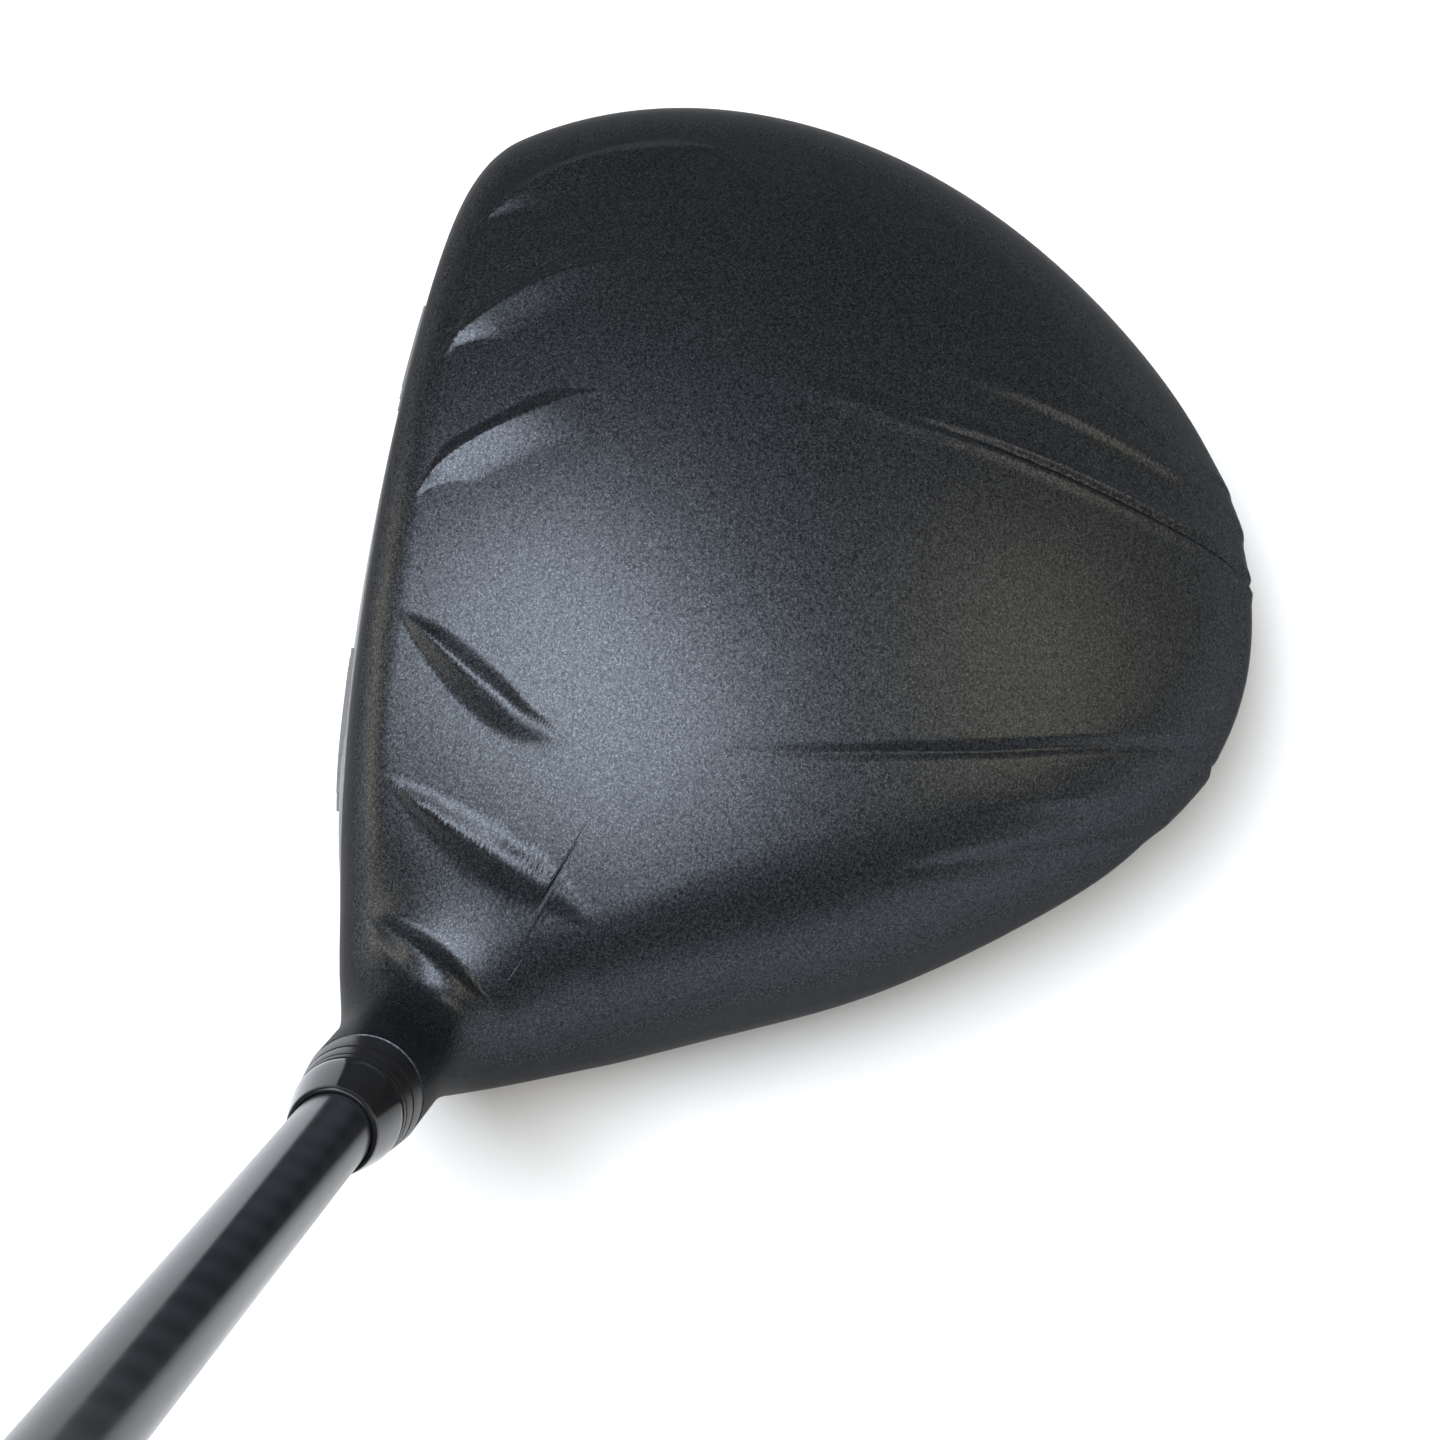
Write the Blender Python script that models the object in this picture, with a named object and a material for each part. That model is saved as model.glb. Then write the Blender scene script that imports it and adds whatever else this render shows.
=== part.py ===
"""Golf driver: a hollow titanium head, an adjustable hosel adapter, a tapered graphite shaft and a rubber grip.

The club stands at address. The origin is the centre of the flat rest pad under the sole. The face looks
towards -Y, the tail of the head points to +Y, the toe to -X, and the shaft rises towards +X. All dimensions
below are in millimetres. Meshes are made in metres. "Along the shaft" means the distance from the point where
the shaft's axis meets the ground.
"""

import math

import bmesh
import bpy
import numpy as np
from mathutils import Matrix, Vector

MM = 0.001
GAP = 0.3
SEGMENTS = 24
NECK_FACETS = 32

# Address position
LIE = math.radians(59.0)
LOFT = math.radians(9.5)
HEEL_POINT = np.array([35.0, -10.0, 0.0])
SHAFT_DIRECTION = np.array([math.cos(LIE), 0.0, math.sin(LIE)])

# Head: the outline at its widest line, seen from above, clockwise from the heel
OUTLINE_CENTRE = (-5.0, 24.0)
OUTLINE = (
    (56.0, -6.0),
    (51.6, 16.0),
    (42.5, 37.5),
    (29.4, 58.3),
    (13.5, 76.0),
    (-6.0, 85.8),
    (-26.0, 82.0),
    (-44.2, 67.7),
    (-61.0, 46.5),
    (-70.8, 23.0),
    (-70.8, 0.0),
    (-59.0, -20.0),
    (-33.0, -34.0),
    (-2.0, -37.0),
    (30.0, -26.3),
    (50.0, -16.5),
)
CROWN_APEX = (-4.0, 4.0)
CROWN_CENTRE_Z = -36.0
CROWN_RADII = (100.0, 103.0, 97.5)
WIDEST_Z_FRONT = 30.0
WIDEST_Z_BACK = 24.0
SKIRT_RADIUS = 28.0
SOLE_RADII = (140.0, 170.0)
REST_PAD_DEPTH = 0.35
FACE_CENTRE_X = -5.0
FACE_MIDDLE_Z = 30.0
TOPLINE_Y = -21.0
TOPLINE_Z = 57.0
FACE_BULGE = 305.0
CROWN_EDGE_BLEND = 12.0
SOLE_EDGE_BLEND = 9.0
FACE_EDGE_BLEND = 4.5
NECK_BLEND = 14.0
HEAD_INSIDE = (-5.0, 24.0, 28.0)
WALL = 1.8

# Joint between crown and body, as (y, z): just under the topline at the face, then along the widest line
CROWN_JOINT = ((-150.0, 51.5), (-18.0, 51.5), (-4.0, 28.5), (66.0, 28.5), (82.0, 24.5), (150.0, 24.5))

# Face plate outline
PLATE_CENTRE = (-5.0, 29.0)
PLATE_HALF_SIZE = (46.0, 21.0)
PLATE_POWER = 2.5

# Hosel, along the shaft
HOSEL_TOP = 70.0
HOSEL_RADIUS = 6.8
HOSEL_ROOT = 18.0
NECK_ZONE_RADIUS = 15.0
NECK_ZONE_START = 38.0
HOSEL_BORE_RADIUS = 5.55
HOSEL_TUBE_RADIUS = 6.6
BOLT_PORT_RADIUS = 5.7
BOLT_SEAT = (16.0, 19.0)
BOLT_SEAT_HOLE = 2.9

# Adapter, along the shaft
RING_TOP = 78.0
RING_RADII = (6.77, 6.12)
SLEEVE_START = 34.0
SLEEVE_END = 80.2
SLEEVE_RADIUS = 5.25
FERRULE_TOP = 86.8
FERRULE_TOP_RADIUS = 5.08

# Shaft and grip, along the shaft
SHAFT_START = 46.3
SHAFT_PARALLEL_END = 90.0
SHAFT_END = 1150.0
SHAFT_TIP_RADIUS = 4.4
SHAFT_BUTT_RADIUS = 7.6
SHAFT_TIP_WALL = 1.35
SHAFT_BUTT_WALL = 0.9
GRIP_START = 888.0
GRIP_MOUTH_RADIUS = 8.7
GRIP_BUTT_RADIUS = 13.0
TAPE_THICKNESS = 0.35
CLUB_LENGTH = 1156.0
CAP_RADIUS = 13.6
VENT_RADIUS = 1.2

# Hosel bolt, along the shaft
BOLT_TIP = 40.0
BOLT_RADIUS = 2.4
BOLT_HEAD = (9.0, 13.7)
BOLT_HEAD_RADIUS = 4.2
WASHER = (14.0, 15.7)
RETAINER = (27.0, 28.6)

# Rear weight: a port in the sole, whose axis points out of the head
WEIGHT_PORT = np.array([-5.0, 63.0, 11.4])
WEIGHT_TILT = math.radians(20.3)
PORT_RADIUS = 9.3
PORT_DEPTH = 7.0
PORT_WALL = 1.8
BOSS_RADIUS = 4.6
BOSS_DEPTH = 13.6
BOSS_FLOOR = 1.0
WEIGHT_RADIUS = 9.0
WEIGHT_TOP = -0.6
SCREW_RADIUS = 2.4
SCREW_HEAD_RADIUS = 4.8


def closed_spline(angles, values):
    """A periodic cubic spline through values at the given rising angles, as a function of the angle."""
    count = len(angles)
    steps = np.diff(np.append(angles, angles[0] + 2 * math.pi))
    slopes = (np.roll(values, -1) - values) / steps
    matrix = np.zeros((count, count))
    for i in range(count):
        matrix[i, i - 1] += steps[i - 1]
        matrix[i, i] += 2 * (steps[i - 1] + steps[i])
        matrix[i, (i + 1) % count] += steps[i]
    bends = np.linalg.solve(matrix, 6 * (slopes - np.roll(slopes, 1)))

    def value_at(angle):
        turned = (angle - angles[0]) % (2 * math.pi) + angles[0]
        left = np.clip(np.searchsorted(angles, turned, side="right") - 1, 0, count - 1)
        right = (left + 1) % count
        step = steps[left]
        after = turned - angles[left]
        before = step - after
        curve = (bends[left] * before**3 + bends[right] * after**3) / (6 * step)
        line_left = (values[left] / step - bends[left] * step / 6) * before
        line_right = (values[right] / step - bends[right] * step / 6) * after
        return curve + line_left + line_right

    return value_at


def outline_radius():
    """The widest outline's distance from its centre, as a function of the angle about it."""
    offsets = np.array(OUTLINE) - OUTLINE_CENTRE
    angles = np.arctan2(offsets[:, 1], offsets[:, 0])
    order = np.argsort(angles)
    return closed_spline(angles[order], np.hypot(offsets[:, 0], offsets[:, 1])[order])


OUTLINE_RADIUS = outline_radius()


def smooth_max(a, b, blend):
    """The larger of two distances, rounded over where they differ by less than blend."""
    closeness = np.clip(blend - np.abs(a - b), 0, None) / blend
    return np.maximum(a, b) + closeness * closeness * blend / 4


def head_distance(points):
    """Roughly the signed distance in millimetres from the head's outer surface, without its hosel."""
    x, y, z = points[..., 0], points[..., 1], points[..., 2]
    u = (x - CROWN_APEX[0]) / CROWN_RADII[0]
    v = (y - CROWN_APEX[1]) / CROWN_RADII[1]
    rise = np.sqrt(np.clip(1 - u * u - v * v, 0.02, None))
    steepness = (CROWN_RADII[2] / rise) ** 2 * ((u / CROWN_RADII[0]) ** 2 + (v / CROWN_RADII[1]) ** 2)
    crown = (z - CROWN_CENTRE_Z - CROWN_RADII[2] * rise) / np.sqrt(1 + steepness)

    back = np.clip((y + 22.0) / 103.0, 0, 1)
    widest_z = WIDEST_Z_FRONT + (WIDEST_Z_BACK - WIDEST_Z_FRONT) * back
    dx, dy = x - OUTLINE_CENTRE[0], y - OUTLINE_CENTRE[1]
    tuck = np.clip(widest_z - z, 0, None) ** 2 / (2 * SKIRT_RADIUS)
    skirt = np.hypot(dx, dy) - OUTLINE_RADIUS(np.arctan2(dy, dx)) + tuck

    camber = x * x / (2 * SOLE_RADII[0]) + y * y / (2 * SOLE_RADII[1]) - REST_PAD_DEPTH
    sole = 0.9 * (camber - z)

    bulge = (x - FACE_CENTRE_X) ** 2 / (2 * FACE_BULGE)
    roll = ((z - FACE_MIDDLE_Z) ** 2 - (TOPLINE_Z - FACE_MIDDLE_Z) ** 2) / (2 * FACE_BULGE)
    face = TOPLINE_Y - (TOPLINE_Z - z) * math.tan(LOFT) + bulge + roll - y

    upper = smooth_max(crown, skirt, CROWN_EDGE_BLEND)
    body = smooth_max(upper, sole, SOLE_EDGE_BLEND)
    return smooth_max(body, face, FACE_EDGE_BLEND)


def outer_distance(points):
    """The signed distance from the painted surface: the head with its hosel blended in."""
    offsets = points - HEEL_POINT
    along = offsets @ SHAFT_DIRECTION
    across = np.linalg.norm(offsets - along[..., None] * SHAFT_DIRECTION, axis=-1)
    hosel = np.maximum(across - HOSEL_RADIUS, np.maximum(along - HOSEL_TOP, HOSEL_ROOT - along))
    return -smooth_max(-head_distance(points), -hosel, NECK_BLEND)


def cavity_distance(points):
    """The signed distance from the inside of the head's wall."""
    return head_distance(points) + WALL


def cast_rays(distance, origins, directions, reach, samples=80, halvings=24):
    """How far each ray runs from inside the surface before it first leaves it, at most reach."""
    steps = np.linspace(0, reach, samples)
    outside = np.stack([distance(origins + directions * step) > 0 for step in steps], axis=-1)
    first = np.where(outside.any(axis=-1), np.argmax(outside, axis=-1), samples - 1)
    near = steps[np.maximum(first - 1, 0)]
    far = steps[np.maximum(first, 1)]
    for _ in range(halvings):
        middle = (near + far) / 2
        left_it = distance(origins + directions * middle[..., None]) > 0
        far = np.where(left_it, middle, far)
        near = np.where(left_it, near, middle)
    return (near + far) / 2


def material(name, colour, roughness, metallic):
    made = bpy.data.materials.new(name)
    made.use_nodes = True
    shader = made.node_tree.nodes["Principled BSDF"]
    shader.inputs["Base Color"].default_value = (*colour, 1.0)
    shader.inputs["Roughness"].default_value = roughness
    shader.inputs["Metallic"].default_value = metallic
    return made


def add_object(name, vertices, faces, surface=None):
    """An object whose vertices are given in millimetres, with its faces turned outwards."""
    mesh = bpy.data.meshes.new(name)
    mesh.from_pydata([tuple(float(c) * MM for c in v) for v in vertices], [], faces)
    shape = bmesh.new()
    shape.from_mesh(mesh)
    bmesh.ops.recalc_face_normals(shape, faces=shape.faces)
    shape.to_mesh(mesh)
    shape.free()
    mesh.shade_smooth()
    mesh.set_sharp_from_angle(angle=math.radians(35))
    made = bpy.data.objects.new(name, mesh)
    bpy.context.scene.collection.objects.link(made)
    if surface is not None:
        mesh.materials.append(surface)
    return made


def as_cutter(made):
    made.hide_render = True
    made.display_type = "WIRE"
    return made


def boolean(target, operation, other):
    modifier = target.modifiers.new(operation.lower() + "_" + other.name, "BOOLEAN")
    modifier.operation = operation
    modifier.object = other
    modifier.solver = "EXACT"


def empty_at(name, location, rotation):
    made = bpy.data.objects.new(name, None)
    made.location = Vector([float(c) * MM for c in location])
    made.rotation_euler = rotation
    bpy.context.scene.collection.objects.link(made)
    bpy.context.view_layer.update()
    return made


def keep_place_under(made, parent):
    made.parent = parent
    made.matrix_parent_inverse = parent.matrix_world.inverted()
    return made


def turned(name, profile, surface=None, parent=None, segments=SEGMENTS):
    """A turned solid about local Z from a closed profile of (radius, height) points."""
    vertices = []
    rings = []
    for radius, height in profile:
        start = len(vertices)
        if radius == 0:
            vertices.append((0.0, 0.0, height))
            rings.append([start] * segments)
            continue
        for k in range(segments):
            angle = 2 * math.pi * k / segments
            vertices.append((radius * math.cos(angle), radius * math.sin(angle), height))
        rings.append(list(range(start, start + segments)))
    faces = []
    for ring, following in zip(rings, rings[1:] + rings[:1]):
        for k in range(segments):
            after = (k + 1) % segments
            corners = (ring[k], ring[after], following[after], following[k])
            face = tuple(dict.fromkeys(corners))
            if len(face) > 2:
                faces.append(face)
    made = add_object(name, vertices, faces, surface)
    made.parent = parent
    return made


def tube_profile(inner, outer, start, end):
    return [(inner, start), (outer, start), (outer, end), (inner, end)]


def rod_profile(radius, start, end):
    return [(0, start), (radius, start), (radius, end), (0, end)]


def ray_solid(name, distance, around, up):
    """A closed skin found by rays from inside the head, around by up facets."""
    centre = np.array(HEAD_INSIDE)
    azimuths = np.arange(around) * 2 * math.pi / around
    climbs = (np.arange(1, up) / up - 0.5) * math.pi
    azimuth, climb = np.meshgrid(azimuths, climbs)
    parts = (np.cos(climb) * np.cos(azimuth), np.cos(climb) * np.sin(azimuth), np.sin(climb))
    directions = np.stack(parts, axis=-1).reshape(-1, 3)
    directions = np.vstack([directions, [[0, 0, -1]], [[0, 0, 1]]])
    lengths = cast_rays(distance, centre, directions, reach=110.0)
    vertices = centre + directions * lengths[:, None]
    bottom, top = len(vertices) - 2, len(vertices) - 1
    faces = []
    for row in range(up - 2):
        for k in range(around):
            after = (k + 1) % around
            low, high = row * around, (row + 1) * around
            faces.append((low + k, low + after, high + after, high + k))
    last = (up - 2) * around
    for k in range(around):
        after = (k + 1) % around
        faces.append((bottom, after, k))
        faces.append((top, last + k, last + after))
    return add_object(name, vertices, faces)


def neck_solid(name, surface, around=NECK_FACETS, rings=12):
    """The flared neck about the shaft's axis: the painted surface, cut off at the neck zone's radius."""
    ahead = np.array([-math.sin(LIE), 0.0, math.cos(LIE)])
    sideways = np.array([0.0, 1.0, 0.0])
    heights = np.linspace(NECK_ZONE_START, HOSEL_TOP - 0.01, rings)
    angles = np.arange(around) * 2 * math.pi / around
    height, angle = np.meshgrid(heights, angles, indexing="ij")
    directions = np.cos(angle)[..., None] * ahead + np.sin(angle)[..., None] * sideways
    origins = HEEL_POINT + height[..., None] * SHAFT_DIRECTION
    limit = NECK_ZONE_RADIUS - GAP / 2
    reach = np.minimum(cast_rays(outer_distance, origins, directions, reach=20.0), limit)
    vertices = (origins + directions * reach[..., None]).reshape(-1, 3)
    ends = [HEEL_POINT + heights[0] * SHAFT_DIRECTION, HEEL_POINT + heights[-1] * SHAFT_DIRECTION]
    vertices = np.vstack([vertices, ends])
    bottom, top = len(vertices) - 2, len(vertices) - 1
    faces = []
    for row in range(rings - 1):
        for k in range(around):
            after = (k + 1) % around
            low, high = row * around, (row + 1) * around
            faces.append((low + k, low + after, high + after, high + k))
    last = (rings - 1) * around
    for k in range(around):
        after = (k + 1) % around
        faces.append((bottom, after, k))
        faces.append((top, last + k, last + after))
    return add_object(name, vertices, faces, surface)


def joint_block(name, upwards):
    """A large block that ends at the crown joint: the space above it, or that below it down to the ground."""
    half = 150.0
    offset = GAP / 2 if upwards else -GAP / 2
    far_z = half if upwards else 0.0
    section = [(y, z + offset) for y, z in CROWN_JOINT]
    section += [(CROWN_JOINT[-1][0], far_z), (CROWN_JOINT[0][0], far_z)]
    count = len(section)
    vertices = [(x, y, z) for x in (-half, half) for y, z in section]
    faces = [tuple(range(count)), tuple(range(count, 2 * count))]
    for k in range(count):
        after = (k + 1) % count
        faces.append((k, after, count + after, count + k))
    return as_cutter(add_object(name, vertices, faces))


def plate_block(name, growth, points=40):
    """A bar along Y through the face, with the face plate's rounded outline grown by growth."""
    vertices = []
    for y in (-60.0, -12.0):
        for k in range(points):
            angle = 2 * math.pi * k / points
            cosine, sine = math.cos(angle), math.sin(angle)
            x = math.copysign(abs(cosine) ** (2 / PLATE_POWER), cosine) * (PLATE_HALF_SIZE[0] + growth)
            z = math.copysign(abs(sine) ** (2 / PLATE_POWER), sine) * (PLATE_HALF_SIZE[1] + growth)
            vertices.append((PLATE_CENTRE[0] + x, y, PLATE_CENTRE[1] + z))
    faces = [tuple(range(points)), tuple(range(points, 2 * points))]
    for k in range(points):
        after = (k + 1) % points
        faces.append((k, after, points + after, points + k))
    return as_cutter(add_object(name, vertices, faces))


def shaft_radius(along):
    share = np.clip((along - SHAFT_PARALLEL_END) / (SHAFT_END - SHAFT_PARALLEL_END), 0, 1)
    return SHAFT_TIP_RADIUS + (SHAFT_BUTT_RADIUS - SHAFT_TIP_RADIUS) * float(share)


def shaft_bore(along):
    share = (along - SHAFT_START) / (SHAFT_END - SHAFT_START)
    return shaft_radius(along) - SHAFT_TIP_WALL - (SHAFT_BUTT_WALL - SHAFT_TIP_WALL) * share


def grip_radius(along):
    """The grip swells slowly under the lower hand and faster towards the butt."""
    share = (along - GRIP_START) / (CLUB_LENGTH - GRIP_START)
    return GRIP_MOUTH_RADIUS + (GRIP_BUTT_RADIUS - GRIP_MOUTH_RADIUS) * share**1.35


def sleeve_along(inner, outer, start, end, steps):
    """A tube profile whose inner and outer radii are functions of the place along the shaft."""
    places = [float(p) for p in np.linspace(start, end, steps)]
    climb = [(outer(p), p) for p in places]
    return climb + [(inner(p), p) for p in reversed(places)]


def make_head(hosel_axis, weight_axis):
    paint = material("head_paint", (0.035, 0.040, 0.046), 0.42, 0.55)
    sole_paint = material("sole_paint", (0.020, 0.020, 0.022), 0.30, 0.40)
    face_metal = material("face_metal", (0.085, 0.085, 0.090), 0.45, 0.85)

    outer = as_cutter(ray_solid("head_outer", outer_distance, around=54, up=26))
    cavity = as_cutter(ray_solid("head_cavity", cavity_distance, around=28, up=16))
    cup_end = -PORT_DEPTH - PORT_WALL
    cup_profile = [
        (0, -BOSS_DEPTH),
        (BOSS_RADIUS, -BOSS_DEPTH),
        (BOSS_RADIUS, cup_end),
        (PORT_RADIUS + PORT_WALL, cup_end),
        (PORT_RADIUS + PORT_WALL, 12),
        (0, 12),
    ]
    cup = as_cutter(turned("weight_cup", cup_profile, parent=weight_axis))
    boolean(cavity, "DIFFERENCE", cup)
    port_profile = [
        (0, BOSS_FLOOR - BOSS_DEPTH),
        (SCREW_RADIUS + GAP, BOSS_FLOOR - BOSS_DEPTH),
        (SCREW_RADIUS + GAP, -PORT_DEPTH),
        (PORT_RADIUS, -PORT_DEPTH),
        (PORT_RADIUS, 12),
        (0, 12),
    ]
    port = as_cutter(turned("weight_port_cut", port_profile, parent=weight_axis))

    above = joint_block("above_crown_joint", upwards=True)
    below = joint_block("below_crown_joint", upwards=False)
    plate_inner = plate_block("plate_outline", -GAP / 2)
    plate_outer = plate_block("plate_opening", GAP / 2)
    neck_cut_profile = rod_profile(NECK_ZONE_RADIUS + GAP / 2, NECK_ZONE_START - GAP, HOSEL_TOP + 20)
    neck_cut = as_cutter(turned("neck_opening", neck_cut_profile, parent=hosel_axis, segments=NECK_FACETS))
    tube_cut_profile = rod_profile(HOSEL_TUBE_RADIUS + GAP, -20, NECK_ZONE_START + 5)
    tube_cut = as_cutter(turned("tube_opening", tube_cut_profile, parent=hosel_axis))

    def shell_piece(name, surface):
        made = keep_place_under(add_object(name, *mesh_lists(outer), surface), hosel_axis)
        boolean(made, "DIFFERENCE", cavity)
        return made

    crown = shell_piece("crown_shell", paint)
    boolean(crown, "INTERSECT", above)
    for cutter in (neck_cut, tube_cut):
        boolean(crown, "DIFFERENCE", cutter)

    body = shell_piece("sole_body", sole_paint)
    boolean(body, "INTERSECT", below)
    for cutter in (neck_cut, plate_outer, tube_cut, port):
        boolean(body, "DIFFERENCE", cutter)

    plate = shell_piece("face_plate", face_metal)
    boolean(plate, "INTERSECT", plate_inner)

    tube = as_cutter(turned("hosel_tube", rod_profile(HOSEL_TUBE_RADIUS, -8, 60), parent=hosel_axis))
    boolean(tube, "INTERSECT", outer)
    bore_profile = [
        (0, -20),
        (BOLT_PORT_RADIUS, -20),
        (BOLT_PORT_RADIUS, BOLT_SEAT[0]),
        (BOLT_SEAT_HOLE, BOLT_SEAT[0]),
        (BOLT_SEAT_HOLE, BOLT_SEAT[1]),
        (HOSEL_BORE_RADIUS, BOLT_SEAT[1]),
        (HOSEL_BORE_RADIUS, HOSEL_TOP + 5),
        (0, HOSEL_TOP + 5),
    ]
    bore = as_cutter(turned("hosel_bore", bore_profile, parent=hosel_axis))
    neck = keep_place_under(neck_solid("hosel_neck", paint), hosel_axis)
    boolean(neck, "DIFFERENCE", cavity)
    boolean(neck, "UNION", tube)
    boolean(neck, "DIFFERENCE", bore)


def mesh_lists(made):
    """An object's vertices in millimetres and its faces, ready for add_object."""
    vertices = [tuple(c / MM for c in v.co) for v in made.data.vertices]
    return vertices, [tuple(f.vertices) for f in made.data.polygons]


def hex_socket(name, across, start, end, parent):
    """A six-sided cutter for a key socket."""
    return as_cutter(turned(name, rod_profile(across / math.sqrt(3), start, end), parent=parent, segments=6))


def make_hosel_bolt(hosel_axis):
    steel = material("bolt_steel", (0.16, 0.16, 0.17), 0.30, 1.0)
    washer_steel = material("washer_steel", (0.45, 0.45, 0.46), 0.28, 1.0)
    nylon = material("retainer_nylon", (0.75, 0.74, 0.70), 0.50, 0.0)
    profile = [
        (0, BOLT_HEAD[0]),
        (BOLT_HEAD_RADIUS - 0.5, BOLT_HEAD[0]),
        (BOLT_HEAD_RADIUS, BOLT_HEAD[0] + 0.5),
        (BOLT_HEAD_RADIUS, BOLT_HEAD[1]),
        (BOLT_RADIUS, BOLT_HEAD[1]),
        (BOLT_RADIUS, BOLT_TIP - 0.6),
        (BOLT_RADIUS - 0.6, BOLT_TIP),
        (0, BOLT_TIP),
    ]
    bolt = turned("hosel_bolt", profile, steel, hosel_axis)
    boolean(bolt, "DIFFERENCE", hex_socket("bolt_socket", 4.0, 4.0, BOLT_HEAD[0] + 3.0, hosel_axis))
    inner = BOLT_RADIUS + GAP
    turned("bolt_washer", tube_profile(inner, 5.3, *WASHER), washer_steel, hosel_axis)
    turned("bolt_retainer_ring", tube_profile(inner, 5.1, *RETAINER), nylon, hosel_axis)


def make_rear_weight(weight_axis):
    tungsten = material("weight_tungsten", (0.22, 0.22, 0.23), 0.34, 1.0)
    steel = material("weight_screw_steel", (0.18, 0.18, 0.19), 0.30, 1.0)
    clip_steel = material("clip_steel", (0.50, 0.50, 0.51), 0.30, 1.0)
    rubber = material("weight_pad_rubber", (0.02, 0.02, 0.02), 0.80, 0.0)
    pad_top = -PORT_DEPTH + GAP + 0.6
    low = pad_top + GAP
    hole = SCREW_RADIUS + GAP
    clip_top = low + 1.2
    seat = WEIGHT_TOP - 3.0
    weight_profile = [
        (4.6, low),
        (WEIGHT_RADIUS, low),
        (WEIGHT_RADIUS, WEIGHT_TOP - 0.6),
        (WEIGHT_RADIUS - 0.6, WEIGHT_TOP),
        (SCREW_HEAD_RADIUS + GAP, WEIGHT_TOP),
        (SCREW_HEAD_RADIUS + GAP, seat),
        (hole, seat),
        (hole, clip_top),
        (4.6, clip_top),
    ]
    turned("rear_weight", weight_profile, tungsten, weight_axis)
    turned("weight_retaining_clip", tube_profile(hole, 4.3, low + 0.2, clip_top - GAP), clip_steel, weight_axis)
    turned("weight_pad", tube_profile(3.4, PORT_RADIUS - GAP, -PORT_DEPTH + GAP, pad_top), rubber, weight_axis)
    head_low = seat + GAP
    head_top = WEIGHT_TOP - 0.3
    screw_tip = BOSS_FLOOR + GAP - BOSS_DEPTH
    screw_profile = [
        (0, screw_tip),
        (SCREW_RADIUS - 0.6, screw_tip),
        (SCREW_RADIUS, screw_tip + 0.6),
        (SCREW_RADIUS, head_low),
        (SCREW_HEAD_RADIUS, head_low),
        (SCREW_HEAD_RADIUS, head_top - 0.5),
        (SCREW_HEAD_RADIUS - 0.5, head_top),
        (0, head_top),
    ]
    screw = turned("weight_screw", screw_profile, steel, weight_axis)
    boolean(screw, "DIFFERENCE", hex_socket("weight_screw_socket", 4.0, head_top - 1.8, 8.0, weight_axis))


def make_adapter(hosel_axis):
    anodised = material("adapter_anodised", (0.015, 0.015, 0.017), 0.28, 0.60)
    gloss_black = material("ferrule_plastic", (0.008, 0.008, 0.009), 0.15, 0.0)
    bore = SHAFT_TIP_RADIUS + 0.25
    thread = BOLT_RADIUS + GAP
    sleeve_profile = [
        (thread, SLEEVE_START),
        (SLEEVE_RADIUS - 0.5, SLEEVE_START),
        (SLEEVE_RADIUS, SLEEVE_START + 0.5),
        (SLEEVE_RADIUS, SLEEVE_END),
        (bore, SLEEVE_END),
        (bore, SHAFT_START - GAP),
        (thread, SHAFT_START - GAP),
    ]
    turned("adapter_sleeve", sleeve_profile, anodised, hosel_axis)
    ring_inner = SLEEVE_RADIUS + 0.25
    ring_profile = [
        (ring_inner, HOSEL_TOP + GAP),
        (RING_RADII[0], HOSEL_TOP + GAP),
        (RING_RADII[1], RING_TOP),
        (ring_inner, RING_TOP),
    ]
    turned("adapter_ring", ring_profile, anodised, hosel_axis)
    ferrule_inner = SHAFT_TIP_RADIUS + 0.25
    ferrule_profile = [
        (ring_inner, RING_TOP + GAP),
        (RING_RADII[1], RING_TOP + GAP),
        (FERRULE_TOP_RADIUS, FERRULE_TOP - 0.6),
        (FERRULE_TOP_RADIUS - 0.2, FERRULE_TOP),
        (ferrule_inner, FERRULE_TOP),
        (ferrule_inner, SLEEVE_END + GAP),
        (ring_inner, SLEEVE_END + GAP),
    ]
    turned("ferrule", ferrule_profile, gloss_black, hosel_axis)


def make_shaft(hosel_axis):
    graphite = material("shaft_graphite", (0.010, 0.010, 0.012), 0.18, 0.0)
    brass = material("tip_brass", (0.60, 0.45, 0.18), 0.30, 1.0)
    cork = material("tip_cork", (0.45, 0.30, 0.17), 0.85, 0.0)
    parallel = [(SHAFT_TIP_RADIUS, SHAFT_START), (SHAFT_TIP_RADIUS, SHAFT_PARALLEL_END)]
    places = [float(p) for p in np.linspace(SHAFT_PARALLEL_END, SHAFT_END, 5)]
    outside = parallel + [(shaft_radius(p), p) for p in places[1:]]
    inside = [(shaft_bore(p), p) for p in reversed(places)] + [(shaft_bore(SHAFT_START), SHAFT_START)]
    turned("shaft", outside + inside, graphite, hosel_axis)
    core = shaft_bore(SHAFT_START) - 0.25
    turned("tip_weight", rod_profile(core, SHAFT_START + 1, SHAFT_START + 16), brass, hosel_axis)
    turned("tip_plug", rod_profile(core, SHAFT_START + 16 + GAP, SHAFT_START + 24), cork, hosel_axis)


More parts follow.
